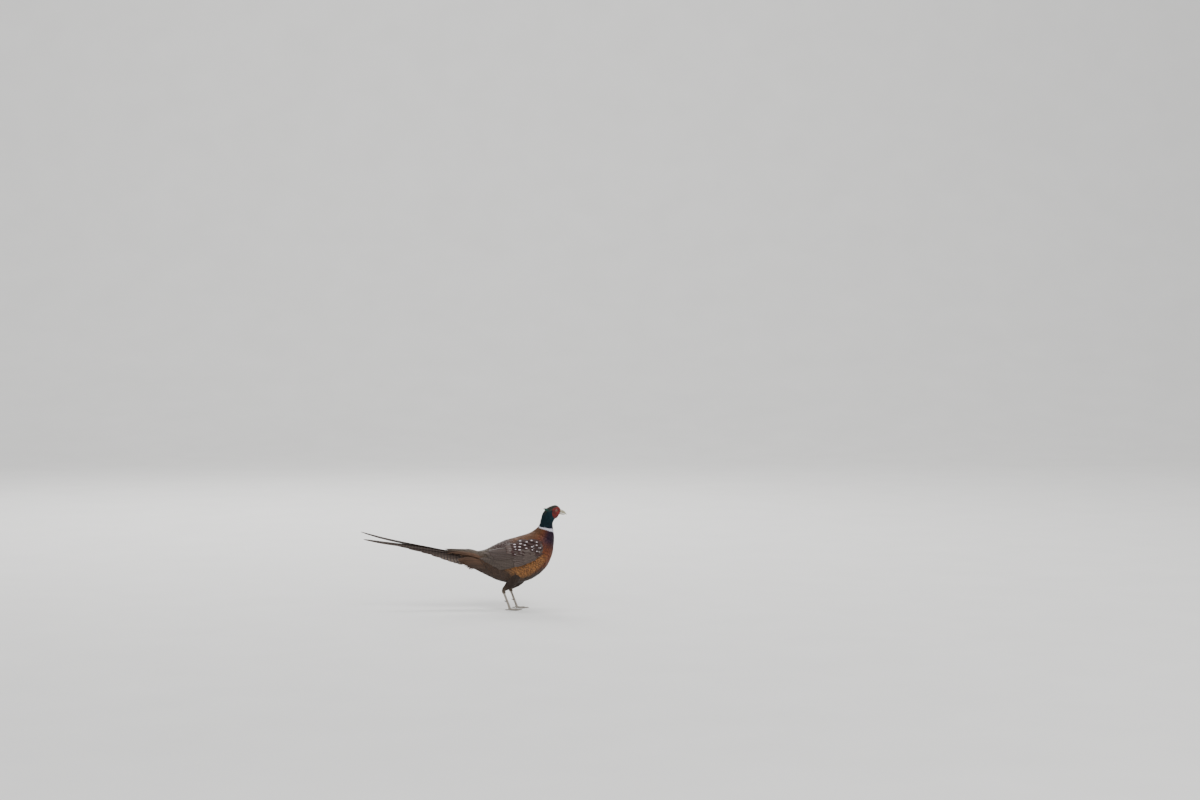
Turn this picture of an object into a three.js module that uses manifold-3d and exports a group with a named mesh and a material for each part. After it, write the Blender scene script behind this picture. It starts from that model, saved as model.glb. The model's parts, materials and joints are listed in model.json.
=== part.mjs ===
// A cock ring-necked pheasant, life size, standing still with its head up and its long tail held a little high.
// Millimetres, +Z up. The bill points along +X and the bird's left side is +Y.
import * as THREE from "three";
import { mergeVertices } from "three/addons/utils/BufferGeometryUtils.js";
import Module from "manifold-3d";

const wasm = await Module();
wasm.setup();

// The gap that touching pieces keep.
const GAP = 0.35;
// Corners closer than this become one.
const CORNER = 2e-3;
const VANE_THICK = 0.75;
const FULLNESS = 0.88;
const BODY_RINGS = 36;
const BODY_SIDES = 20;

// The trunk from the bill's base to the tail's root. At each station, back and front are [x, z] points of the side
// outline, and half is half the width there.
const STATIONS = [
  { name: "bill base", back: [171, 410], front: [165, 396], half: 6.5 },
  { name: "brow", back: [160, 424], front: [156, 380], half: 14.5 },
  { name: "crown", back: [144, 429.5], front: [145, 371.5], half: 18.5 },
  { name: "nape", back: [113, 418], front: [137.5, 357], half: 17.5 },
  { name: "throat", back: [96, 398], front: [137, 341], half: 17 },
  { name: "neck", back: [87, 371], front: [139, 323], half: 19 },
  { name: "ring", back: [78, 343], front: [142, 305], half: 25 },
  { name: "shoulder", back: [44, 317], front: [141, 270], half: 42 },
  { name: "breast", back: [-8, 300], front: [133, 222], half: 60 },
  { name: "keel", back: [-62, 285], front: [108, 172], half: 68 },
  { name: "flank", back: [-106, 265], front: [58, 130], half: 68 },
  { name: "belly", back: [-136, 250], front: [-8, 109], half: 60 },
  { name: "rump", back: [-161, 243], front: [-80, 117], half: 44 },
  { name: "vent", back: [-186, 242], front: [-142, 145], half: 33 },
  { name: "tail root", back: [-216, 243], front: [-196, 172], half: 23 },
  { name: "tail core", back: [-250, 246], front: [-246, 194], half: 16 },
];
const CUTS = { neck: 3.7, torso: 6.9, rump: 12, tail: 14 };

// The head's own parts.
const EYE = { x: 150, z: 408, radius: 5.4, depth: 3.2, sides: 12 };
const BILL = { tip: [193.5, 390], chinTip: [188, 390.5] };

// The tail: half of its eighteen feathers, from the middle pair outwards.
const TAIL_TOP = [[-190, 236], [-250, 241], [-289, 245.5], [-357, 259], [-480, 282], [-570, 302], [-652, 325]];
const TAIL_ROOT_X = -219;
const TAIL_TIPS = [-652, -505, -455, -405, -362, -326, -298, -275, -256];
const TAIL_DROPS = [0, 20, 23, 26, 31, 35, 38, 41, 44];
const LOW_MIDDLE = { tip: -640, drop: 30 };

// The legs: each foot's place, forward of the trunk's own zero and out from the middle.
const FEET = { left: { x: -12, y: 33 }, right: { x: -42, y: -33 } };
const HOCK = { back: 25, z: 77 };
const KNEE = { forward: 34, z: 150, inward: 4 };

// A closed skin over rows of points, each going round a section, with a fan over each end. Thin plates have their two
// faces split alike.
function loft(rows, thin = false) {
  const around = rows[0].length;
  const points = rows.flat();
  const index = [];
  for (let j = 0; j + 1 < rows.length; j++)
    for (let k = 0; k < around; k++) {
      const a = j * around + k;
      const b = j * around + ((k + 1) % around);
      const under = thin && k >= around / 3 && k < (2 * around) / 3;
      if (under) index.push(a, b, b + around, a, b + around, a + around);
      else index.push(a, b, a + around, b, b + around, a + around);
    }
  for (const [first, turn] of [[0, 1], [(rows.length - 1) * around, -1]]) {
    const centre = new THREE.Vector3();
    for (let k = 0; k < around; k++) centre.addScaledVector(points[first + k], 1 / around);
    points.push(centre);
    for (let k = 0; k < around; k++) {
      const ends = [first + k, first + ((k + 1) % around)];
      if (turn > 0) ends.reverse();
      index.push(points.length - 1, ...ends);
    }
  }
  return new THREE.BufferGeometry().setFromPoints(points).setIndex(index);
}

// A geometry as a solid, with like vertices merged, empty triangles dropped and its faces turned outwards.
function solid(geometry, reach = 1e-4) {
  geometry.deleteAttribute("normal");
  geometry.deleteAttribute("uv");
  const merged = mergeVertices(geometry, reach);
  const kept = [];
  const index = merged.index.array;
  for (let i = 0; i < index.length; i += 3) {
    const [a, b, c] = index.slice(i, i + 3);
    if (a !== b && b !== c && a !== c) kept.push(a, b, c);
  }
  const vertProperties = merged.attributes.position.array;
  const build = (list) =>
    new wasm.Manifold(new wasm.Mesh({ numProp: 3, vertProperties, triVerts: new Uint32Array(list) }));
  const made = build(kept);
  return made.volume() > 0 ? made : build(kept.reverse());
}

// A solid's surface as a three.js geometry.
function surface(made) {
  const { vertProperties, triVerts, numProp } = made.getMesh();
  const places = new Float32Array((vertProperties.length / numProp) * 3);
  for (let i = 0; i < places.length / 3; i++) places.set(vertProperties.subarray(i * numProp, i * numProp + 3), i * 3);
  const geometry = new THREE.BufferGeometry();
  geometry.setAttribute("position", new THREE.BufferAttribute(places, 3));
  return geometry.setIndex(new THREE.BufferAttribute(triVerts, 1));
}

// The largest closed surface of a solid, once corners that all but touch are one.
function keepLargest(whole) {
  const largest = (parts) => parts.reduce((best, piece) => (piece.volume() > best.volume() ? piece : best));
  return largest(solid(surface(largest(whole.decompose())), CORNER).decompose());
}

const fuse = (solids) => keepLargest(solids.reduce((sum, piece) => sum.add(piece)));

// A ball pulled to three radii at a place, turned about Y and then Z.
function ball([x, y, z], [a, b, c], sides = 12, turnY = 0, turnZ = 0) {
  const shape = new THREE.SphereGeometry(1, sides, Math.ceil(sides * 0.6)).rotateX(Math.PI / 2);
  return solid(shape.scale(a, b, c).rotateY(turnY).rotateZ(turnZ).translate(x, y, z));
}

const mix = (a, b, u) => a + (b - a) * u;
const mixPoint = (p, q, u) => [mix(p[0], q[0], u), mix(p[1], q[1], u)];
const smooth = (u) => u * u * (3 - 2 * u);
const spline = (points) => new THREE.SplineCurve(points.map(([x, y]) => new THREE.Vector2(x, y)));

const BACK = spline(STATIONS.map((station) => station.back));
const FRONT = spline(STATIONS.map((station) => station.front));
const HALF = spline(STATIONS.map((station, i) => [station.half, i]));
const LAST = STATIONS.length - 1;
const fuller = (v) => Math.sign(v) * Math.abs(v) ** FULLNESS;
const lessFull = (v) => Math.sign(v) * Math.abs(v) ** (1 / FULLNESS);

// A point of the trunk's skin. Station runs along it, and turn is 0 at the back, a quarter turn at the left side and
// half a turn at the front.
function skin(station, turn, grow = 0) {
  const u = Math.min(1, Math.max(0, station / LAST));
  const back = BACK.getPoint(u);
  const front = FRONT.getPoint(u);
  const middle = back.clone().add(front).multiplyScalar(0.5);
  const up = back.clone().sub(front).multiplyScalar(0.5);
  const rise = fuller(Math.cos(turn)) * (1 + grow / up.length());
  const out = fuller(Math.sin(turn)) * (HALF.getPoint(u).x + grow);
  return new THREE.Vector3(middle.x + up.x * rise, out, middle.y + up.y * rise);
}

function skinNormal(station, turn) {
  const step = 0.02;
  const along = skin(station + step, turn).sub(skin(station - step, turn));
  const round = skin(station, turn + step).sub(skin(station, turn - step));
  return round.cross(along).normalize();
}

// The station and turn where the side view's point x, z lies on the trunk, by halving. Side is 1 left and -1 right.
function sideOf(x, z, side) {
  const ahead = (station) => {
    const back = BACK.getPoint(station / LAST);
    const front = FRONT.getPoint(station / LAST);
    return (back.x - front.x) * (z - front.y) - (back.y - front.y) * (x - front.x);
  };
  let low = CUTS.neck;
  let high = LAST;
  for (let i = 0; i < 30; i++) {
    const middle = (low + high) / 2;
    if (ahead(middle) > 0) low = middle;
    else high = middle;
  }
  const back = BACK.getPoint(low / LAST);
  const front = FRONT.getPoint(low / LAST);
  const up = back.clone().sub(front);
  const share = new THREE.Vector2(x, z).sub(front).dot(up) / up.lengthSq();
  const rise = Math.min(0.98, Math.max(-0.98, 2 * share - 1));
  return { station: low, turn: side * Math.acos(lessFull(rise)) };
}

function trunk(grow = 0) {
  const rows = [];
  for (let j = 0; j <= BODY_RINGS; j++) {
    const row = [];
    for (let k = 0; k < BODY_SIDES; k++) row.push(skin((LAST * j) / BODY_RINGS, (2 * Math.PI * k) / BODY_SIDES, grow));
    const { normal } = stationPlane((LAST * j) / BODY_RINGS);
    const past = j === 0 ? grow : j === BODY_RINGS ? -grow : 0;
    rows.push(row.map((at) => at.addScaledVector(new THREE.Vector3(...normal), past)));
  }
  return solid(loft(rows));
}

// The plane through a station's back and front points, facing the head.
function stationPlane(station) {
  const back = BACK.getPoint(station / LAST);
  const front = FRONT.getPoint(station / LAST);
  const normal = new THREE.Vector2(back.y - front.y, front.x - back.x).normalize();
  return { normal: [normal.x, 0, normal.y], offset: normal.dot(back) };
}

// Parts the trunk in two at a station, with the gap between them.
function part(whole, station) {
  const { normal, offset } = stationPlane(station);
  const ahead = whole.trimByPlane(normal, offset + GAP / 2);
  const behind = whole.trimByPlane(normal.map((v) => -v), -offset + GAP / 2);
  return [ahead, behind];
}

// A feather's vane: a thin plate carried along a path of frames { at, side, up }. Its half width grows from the quill to
// its widest at the share called belly, and narrows to the tip.
function vane(frames, half, { thick = VANE_THICK, belly = 0.55, tipShare = 0.16 } = {}) {
  const last = frames.length - 1;
  const rows = frames.map(({ at, side, up }, j) => {
    const u = j / last;
    const grown = u < belly ? mix(0.55, 1, smooth(u / belly)) : 1;
    const end = u > belly ? (u - belly) / (1 - belly) : 0;
    const wide = half * grown * Math.max(tipShare, Math.sqrt(Math.max(0, 1 - end ** 2.4)));
    const deep = (thick / 2) * mix(1.2, 0.7, u);
    const corners = [[-1, 1], [1, 1], [1, -1], [-1, -1]];
    return corners.map(([a, b]) => at.clone().addScaledVector(side, a * wide).addScaledVector(up, b * deep));
  });
  return solid(loft(rows, true));
}

// Frames of a path of points, each with its own up direction.
function framesAlong(points, ups) {
  return points.map((at, j) => {
    const ahead = points[Math.min(points.length - 1, j + 1)].clone().sub(points[Math.max(0, j - 1)]);
    const side = new THREE.Vector3().crossVectors(ups[j], ahead).normalize();
    return { at, side, up: new THREE.Vector3().crossVectors(ahead, side).normalize() };
  });
}

// A vane that lies over the trunk's side, from a root to a tip in the side view, at heights above the skin.
function sideVane(root, tip, side, half, lifts, steps, options) {
  const points = [];
  const ups = [];
  for (let j = 0; j <= steps; j++) {
    const u = j / steps;
    const [x, z] = mixPoint(root, tip, u);
    const { station, turn } = sideOf(x, z, side);
    const up = skinNormal(station, turn);
    points.push(skin(station, turn).addScaledVector(up, mix(lifts[0], lifts[1], smooth(Math.min(1, u * 1.8)))));
    const upward = new THREE.Vector3(0, 0, 1).addScaledVector(up, -up.z).normalize();
    ups.push(up.clone().addScaledVector(upward, TILE));
  }
  return vane(framesAlong(points, ups), half, options);
}

// The folded wing's tiers, lowest first. Each goes from a row of roots to a row of tips in the side view.
const WING_TIERS = [
  { count: 5, roots: [[40, 222], [26, 206]], tips: [[-166, 214], [-88, 174]], half: 9, lifts: [2.6, 3], steps: 3 },
  { count: 5, roots: [[44, 250], [36, 216]], tips: [[-146, 234], [-70, 184]], half: 10.5, lifts: [3.4, 5.2], steps: 3 },
  { count: 4, roots: [[32, 268], [38, 248]], tips: [[-132, 251], [-106, 222]], half: 14, lifts: [4.4, 8], steps: 2 },
  { count: 4, roots: [[60, 260], [56, 218]], tips: [[-34, 260], [-24, 188]], half: 13.5, lifts: [5.4, 9.2], steps: 2 },
  { count: 4, roots: [[72, 262], [67, 224]], tips: [[8, 263], [16, 200]], half: 12, lifts: [6.4, 11.4], steps: 2 },
  { count: 4, roots: [[40, 287], [48, 268]], tips: [[-66, 278], [-44, 256]], half: 12, lifts: [4, 10.8], steps: 3 },
];
// The lean that lets each vane's lower edge lie over the next one down, as tiles do.
const TILE = 0.16;
const WING_PAD = { x: 50, z: 246, long: 44, high: 40, thick: 8.5, lean: 0.35 };

// The wing's arm, a pad on the trunk's side that holds the roots of all its feathers.
function wingPad(side) {
  const shape = new THREE.SphereGeometry(1, 12, 8);
  const spots = shape.attributes.position;
  for (let i = 0; i < spots.count; i++) {
    const [a, b, c] = [spots.getX(i), spots.getY(i), spots.getZ(i)];
    const x = WING_PAD.x + WING_PAD.long * a + WING_PAD.lean * WING_PAD.high * c;
    const z = WING_PAD.z + WING_PAD.high * c;
    const { station, turn } = sideOf(x, z, side);
    const lift = WING_PAD.thick * (b > 0 ? b : 0.2 * b);
    const at = skin(station, turn).addScaledVector(skinNormal(station, turn), lift);
    spots.setXYZ(i, at.x, at.y, at.z);
  }
  return solid(shape);
}

function wing(side, body) {
  const pieces = [wingPad(side)];
  for (const tier of WING_TIERS)
    for (let i = 0; i < tier.count; i++) {
      const u = i / (tier.count - 1);
      const root = mixPoint(...tier.roots, u);
      const tip = mixPoint(...tier.tips, u);
      tip[0] += 3 * Math.sin(i * 2.3);
      pieces.push(sideVane(root, tip, side, tier.half, tier.lifts, tier.steps));
    }
  return keepLargest(fuse(pieces).subtract(body));
}

const TOP = spline(TAIL_TOP);

// The height of the tail's upper line at a distance back, by halving.
function tailTop(x) {
  let low = 0;
  let high = 1;
  for (let i = 0; i < 24; i++) {
    const middle = (low + high) / 2;
    if (TOP.getPoint(middle).x > x) low = middle;
    else high = middle;
  }
  return TOP.getPoint(low).y;
}

// One tail feather. The pairs stand lower and further out from the middle one, like tiles of a steep roof.
function tailFeather(pair, side) {
  const low = pair === 0 && side < 0;
  const tipX = low ? LOW_MIDDLE.tip : TAIL_TIPS[pair];
  const tipDrop = low ? LOW_MIDDLE.drop : TAIL_DROPS[pair];
  const steps = pair === 0 ? 8 : pair < 4 ? 5 : 3;
  const roll = mix(0.28, 1.15, pair / 8);
  const points = [];
  const ups = [];
  for (let j = 0; j <= steps; j++) {
    const u = j / steps;
    const x = mix(TAIL_ROOT_X, tipX, u);
    const rootDrop = 5 + 4 * pair;
    const drop = mix(rootDrop, tipDrop + (pair === 0 ? 1.5 * side : 0), pair === 0 ? u ** 2 : u ** 0.7);
    const out = mix(1.6 + 1.45 * pair, 3.5 + 4.4 * pair, Math.sin((u * Math.PI) / 2));
    points.push(new THREE.Vector3(x, side * out, tailTop(x) - drop));
    ups.push(new THREE.Vector3(0, side * Math.sin(roll), Math.cos(roll)));
  }
  const half = mix(11.5, 10, pair / 8);
  return vane(framesAlong(points, ups), half, { belly: pair === 0 ? 0.25 : 0.4, tipShare: 0.12 });
}

function tail(core) {
  const pieces = [core];
  for (let pair = 0; pair < TAIL_TIPS.length; pair++) pieces.push(tailFeather(pair, 1), tailFeather(pair, -1));
  return pieces;
}

// Rows of upper tail coverts and of the long, loose plumes at the rump's sides. Each row has a station for its roots,
// the turns that it spans, the x of its tips and how far they stand over the tail.
const COVERT_ROWS = [
  { station: 13.5, count: 3, spread: 0.6, tip: -318, over: 5, half: 13 },
  { station: 13.0, count: 3, spread: 0.8, tip: -272, over: 8, half: 14 },
  { station: 12.5, count: 4, spread: 1.1, tip: -228, over: 11, half: 14 },
];
const PLUMES = { count: 3, station: 12.6, turns: [1.25, 1.9], tips: [[-262, 214], [-206, 166]], out: 9, half: 7 };

function rumpVanes() {
  const pieces = [];
  for (const row of COVERT_ROWS)
    for (let i = 0; i < row.count; i++) {
      const share = (2 * i) / (row.count - 1) - 1;
      const turn = share * row.spread;
      const root = skin(row.station, turn, -3);
      const over = row.over + 1.3 * (i % 2);
      const tipX = row.tip + 16 * Math.abs(share) + 3 * Math.sin(i * 2.1);
      const tipY = share * 17;
      const tip = new THREE.Vector3(tipX, tipY, tailTop(tipX) + over - 16 * share * share);
      const middle = skin(row.station + 1.1, turn * 0.95, over + 4.4);
      const curve = new THREE.QuadraticBezierCurve3(root, middle, tip);
      const up = skinNormal(row.station, turn);
      const points = curve.getPoints(3);
      pieces.push(vane(framesAlong(points, points.map(() => up)), row.half, { tipShare: 0.2 }));
    }
  for (const side of [1, -1])
    for (let i = 0; i < PLUMES.count; i++) {
      const u = i / (PLUMES.count - 1);
      const turn = side * mix(...PLUMES.turns, u);
      const root = skin(PLUMES.station, turn, -3);
      const [tipX, tipZ] = mixPoint(...PLUMES.tips, u);
      const tip = new THREE.Vector3(tipX, side * mix(46, 33, u), tipZ);
      const middle = skin(PLUMES.station + 1, turn, PLUMES.out + 1.5 * (i % 2));
      const points = new THREE.QuadraticBezierCurve3(root, middle, tip).getPoints(2);
      const up = skinNormal(PLUMES.station, turn);
      pieces.push(vane(framesAlong(points, points.map(() => up)), PLUMES.half, { tipShare: 0.2 }));
    }
  return pieces;
}

// A solid between an upper and a lower line of the side view, both from front to back, with its half widths.
function wedge(upper, lower, halves, rings, sides, full = 1) {
  const [top, bottom, wide] = [spline(upper), spline(lower), spline(halves.map((half, i) => [half, i]))];
  const rows = [];
  for (let j = 0; j <= rings; j++) {
    const [a, b] = [top.getPoint(j / rings), bottom.getPoint(j / rings)];
    const row = [];
    for (let k = 0; k < sides; k++) {
      const turn = (2 * Math.PI * k) / sides;
      const rise = (Math.cos(turn) + 1) / 2;
      const out = Math.sign(Math.sin(turn)) * Math.abs(Math.sin(turn)) ** full * wide.getPoint(j / rings).x;
      row.push(new THREE.Vector3(mix(b.x, a.x, rise), out, mix(b.y, a.y, rise)));
    }
    rows.push(row);
  }
  return solid(loft(rows));
}

// The upper bill, hooked a little over the lower one, with a long nostril on each side under its flap.
function upperBill() {
  const [tipX, tipZ] = BILL.tip;
  const culmen = [[170, 411.5], [178, 408.5], [186, 402.5], [192, 395], [tipX, tipZ]];
  const edge = [[163, 399.2], [172, 397], [181, 394.6], [188, 392.4], [tipX - 0.6, tipZ - 0.4]];
  const shape = wedge(culmen, edge, [7.2, 6.2, 4.8, 2.8, 0.6], 8, 10, 0.8);
  const nostrils = [1, -1].map((side) => ball([176.5, side * 5.6, 402.6], [3, 1.6, 1], 6, 0.5));
  return nostrils.reduce((whole, hole) => whole.subtract(hole), shape);
}

function lowerBill() {
  const [tipX, tipZ] = BILL.chinTip;
  const upper = [[161, 398], [170, 396.2], [180, 393.4], [tipX, tipZ + 0.6]];
  const lower = [[161, 392.5], [170, 390.6], [180, 389.4], [tipX, tipZ - 0.4]];
  return wedge(upper, lower, [6, 5.2, 3.6, 0.9], 5, 8, 0.8);
}

// Where the head's side surface lies at x, z, as a distance out from the middle.
function cheek(x, z) {
  let best = 0;
  let nearest = Infinity;
  for (let i = 0; i <= 60; i++)
    for (let k = 1; k < 20; k++) {
      const at = skin((4.2 * i) / 60, (Math.PI * k) / 20);
      const far = Math.hypot(at.x - x, at.z - z);
      if (far < nearest) [nearest, best] = [far, at.y];
    }
  return best;
}

const eyePlace = (side) => [EYE.x, side * (cheek(EYE.x, EYE.z) - EYE.radius + EYE.depth), EYE.z];

// The bare red skin of the face: bulbs round the eye, a fold over it and a lobe under the cheek.
const WATTLE_BULBS = [
  { x: 161, z: 412, a: 7, c: 7.5 },
  { x: 155, z: 418, a: 8, c: 5.5 },
  { x: 145, z: 417, a: 7.5, c: 5 },
  { x: 139, z: 408, a: 5, c: 8 },
  { x: 161, z: 400, a: 6, c: 8 },
  { x: 152, z: 394, a: 10, c: 9 },
  { x: 142, z: 393, a: 8, c: 9 },
  { x: 150, z: 408, a: 9.5, c: 9 },
  { x: 147, z: 382, a: 8.5, c: 8.5 },
];

function wattle(side, head) {
  const bulbs = WATTLE_BULBS.map(({ x, z, a, c }) => ball([x, side * (cheek(x, z) - 1.6), z], [a, 3.6, c], 8));
  const [x, y, z] = eyePlace(side);
  const lid = new THREE.TorusGeometry(EYE.radius - 0.2, 1.2, 4, 12).rotateX(Math.PI / 2).scale(1.05, 1, 0.9);
  const lids = solid(lid.translate(x, y + side * (EYE.radius * 0.62), z));
  const socket = ball([x, y, z], [EYE.radius + GAP, EYE.radius + GAP, EYE.radius + GAP], EYE.sides);
  return keepLargest(fuse([...bulbs, lids]).subtract(head).subtract(socket));
}

// The short feather horn behind the crown.
const HORN = { x: 118, z: 412, tip: [97, 411], count: 4, half: 2.6 };

function horn(side, head) {
  const out = cheek(HORN.x, HORN.z);
  const pieces = [ball([HORN.x - 1, side * (out - 0.5), HORN.z], [5, 3, 4], 8)];
  for (let i = 0; i < HORN.count; i++) {
    const root = new THREE.Vector3(HORN.x, side * (out + 0.3), HORN.z + 1.6 - i);
    const tip = new THREE.Vector3(HORN.tip[0] + 3 * i, side * (out + 3 - i * 0.4), HORN.tip[1] + 2 - 2.6 * i);
    const middle = root.clone().lerp(tip, 0.5).add(new THREE.Vector3(0, side * 2.2, 1.2));
    const points = new THREE.QuadraticBezierCurve3(root, middle, tip).getPoints(3);
    const up = new THREE.Vector3(0, side, 0.25).normalize();
    pieces.push(vane(framesAlong(points, points.map(() => up)), HORN.half, { thick: 0.8 }));
  }
  return keepLargest(fuse(pieces).subtract(head));
}

// A round limb between two points with its radii, as rings of a tube that swells and narrows.
function limb(points, radii, sides, shape = () => 1) {
  const path = new THREE.CatmullRomCurve3(points);
  const thickness = spline(radii.map((radius, i) => [radius, i]));
  const rings = (points.length - 1) * 2;
  const rows = [];
  for (let j = 0; j <= rings; j++) {
    const u = j / rings;
    const at = path.getPoint(u);
    const ahead = path.getTangent(u);
    const front = new THREE.Vector3(1, 0, 0).addScaledVector(ahead, -ahead.x).normalize();
    const side = new THREE.Vector3().crossVectors(ahead, front);
    const row = [];
    for (let k = 0; k < sides; k++) {
      const turn = (2 * Math.PI * k) / sides;
      const reach = thickness.getPoint(u).x * shape(u, Math.cos(turn));
      row.push(at.clone().addScaledVector(front, Math.cos(turn) * reach).addScaledVector(side, Math.sin(turn) * reach));
    }
    rows.push(row);
  }
  return solid(loft(rows));
}

const hockOf = (foot) => new THREE.Vector3(foot.x - HOCK.back, foot.y, HOCK.z);
const ankleOf = (foot) => new THREE.Vector3(foot.x, foot.y, 9);

function thigh(foot, body) {
  const inward = Math.sign(foot.y) * KNEE.inward;
  const knee = new THREE.Vector3(foot.x + KNEE.forward - 6, foot.y - inward, KNEE.z);
  const middle = new THREE.Vector3(foot.x + 6, foot.y - inward / 2, 112);
  const hock = hockOf(foot).add(new THREE.Vector3(3, 0, 9));
  const cuff = hockOf(foot).lerp(ankleOf(foot), 0.07);
  return keepLargest(limb([knee, middle, hock, cuff], [30, 20, 9, 7.6], 12).subtract(body));
}

// The bare shank, with a row of broad scutes down its front and a spur at its back.
const SHANK = { radius: 3.9, scutes: 11, raise: 0.16, spur: 12, spurAt: 0.6 };

// The shank as a solid, or grown as the room that the thigh and the foot leave for it.
function shankTube(foot, grow = 0) {
  const path = new THREE.LineCurve3(hockOf(foot), ankleOf(foot));
  const { front, side } = shankAxes(foot);
  const last = SHANK.scutes * 2 - 1;
  const rows = [];
  for (let j = 0; j <= last; j++) {
    const scute = (Math.floor(j / 2) + (j % 2) * 0.94) / (SHANK.scutes - 0.06);
    const past = j === 0 ? -grow : j === last ? grow : 0;
    const u = mix(0.03, 0.97, scute) + past / path.getLength();
    const knob = 1 + 0.5 * Math.exp(-((u / 0.12) ** 2)) + 0.22 * Math.exp(-(((1 - u) / 0.1) ** 2));
    const row = [];
    for (let k = 0; k < 8; k++) {
      const turn = (2 * Math.PI * k) / 8;
      const raised = j % 2 && Math.cos(turn) > 0.2 ? 1 + SHANK.raise : 1;
      const reach = SHANK.radius * knob * raised + grow;
      const at = path.getPoint(u).addScaledVector(front, Math.cos(turn) * reach * 1.08);
      row.push(at.addScaledVector(side, Math.sin(turn) * reach * 0.86));
    }
    rows.push(row);
  }
  return solid(loft(rows));
}

function shankAxes(foot) {
  const ahead = ankleOf(foot).sub(hockOf(foot)).normalize();
  const front = new THREE.Vector3(1, 0, 0).addScaledVector(ahead, -ahead.x).normalize();
  return { front, side: new THREE.Vector3().crossVectors(ahead, front) };
}

function shank(foot) {
  const inward = -Math.sign(foot.y) * 0.45;
  const root = hockOf(foot).lerp(ankleOf(foot), SHANK.spurAt).addScaledVector(shankAxes(foot).front, -1.5);
  const tip = root.clone().add(new THREE.Vector3(-SHANK.spur, inward * SHANK.spur, 3.5));
  const middle = root.clone().lerp(tip, 0.55).add(new THREE.Vector3(0, 0, -1.4));
  return fuse([shankTube(foot), limb([root, middle, tip], [3, 2, 0.25], 6)]);
}

// The toes: how far each points out, its length without the claw, its number of joints and its thickness.
const TOES = [
  { name: "inner", angle: -0.62, length: 31, joints: 2, thick: 3.3 },
  { name: "middle", angle: -0.04, length: 44, joints: 3, thick: 3.6 },
  { name: "outer", angle: 0.56, length: 34, joints: 4, thick: 3.2 },
  { name: "hind", angle: 2.85, length: 13, joints: 1, thick: 2.7 },
];
const CLAW = 9;

// A toe along the floor with a pad and two scutes at each joint, its sole pressed flat, and its claw.
function toe(foot, { angle, length, joints, thick }) {
  const outward = Math.sign(foot.y) * angle;
  const way = new THREE.Vector3(Math.cos(outward), Math.sin(outward), 0);
  const side = new THREE.Vector3(-way.y, way.x, 0);
  const hind = joints === 1;
  const rings = joints * 2 + 1;
  const rows = [];
  for (let j = 0; j <= rings; j++) {
    const u = j / rings;
    const swell = 1 + 0.1 * (j % 2);
    const reach = thick * swell * mix(1, 0.68, u);
    const height = hind ? mix(7, 1.8, u) : mix(5.4, 2.6, smooth(Math.min(1, u * 2)));
    const at = new THREE.Vector3(foot.x, foot.y, height).addScaledVector(way, length * u);
    const row = [];
    for (let k = 0; k < 6; k++) {
      const turn = (2 * Math.PI * (k + 0.5)) / 6;
      const spot = at.clone().addScaledVector(side, Math.sin(turn) * reach);
      spot.z = Math.max(0, spot.z + Math.cos(turn) * reach);
      row.push(spot);
    }
    rows.push(row);
  }
  const root = new THREE.Vector3(foot.x, foot.y, hind ? 2.4 : 2.6).addScaledVector(way, length - 1.5);
  const tip = root.clone().addScaledVector(way, CLAW + 1).setZ(0.5);
  const middle = root.clone().lerp(tip, 0.5).setZ(3.4);
  return [solid(loft(rows)), limb([root, middle, tip], [1.9, 1.5, 0.3], 5).trimByPlane([0, 0, 1], 0)];
}

function foot(place, leg) {
  const ankle = ball([place.x, place.y, 6.6], [5.6, 5, 5.6], 8).trimByPlane([0, 0, 1], 0);
  const whole = fuse([ankle, ...TOES.flatMap((one) => toe(place, one))]);
  return keepLargest(whole.subtract(leg));
}

const MATERIALS = {
  head: { color: 0x16302c, roughness: 0.5 },
  neck: { color: 0x10282f, roughness: 0.42, metalness: 0.25 },
  torso: { color: 0x7a4218, roughness: 0.7 },
  rump: { color: 0x5f5c48, roughness: 0.75 },
  wing: { color: 0x6a5a4c, roughness: 0.75 },
  tail: { color: 0x7b6750, roughness: 0.7 },
  bill: { color: 0xcfc6a0, roughness: 0.4 },
  eye: { color: 0x2a1605, roughness: 0.1 },
  wattle: { color: 0xa3160f, roughness: 0.6 },
  thigh: { color: 0x4a2f1c, roughness: 0.8 },
  leg: { color: 0x8a8578, roughness: 0.55 },
};

const bird = new THREE.Group();

function show(name, made, material) {
  const mesh = new THREE.Mesh(surface(made), new THREE.MeshStandardMaterial(MATERIALS[material]));
  mesh.name = name;
  bird.add(mesh);
}

const whole = trunk();
const around = trunk(GAP);
const [headPart, belowHead] = part(whole, CUTS.neck);
const [neckPart, belowNeck] = part(belowHead, CUTS.torso);
const [torsoPart, behindTorso] = part(belowNeck, CUTS.rump);
const [rumpPart, tailCore] = part(behindTorso, CUTS.tail);

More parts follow.
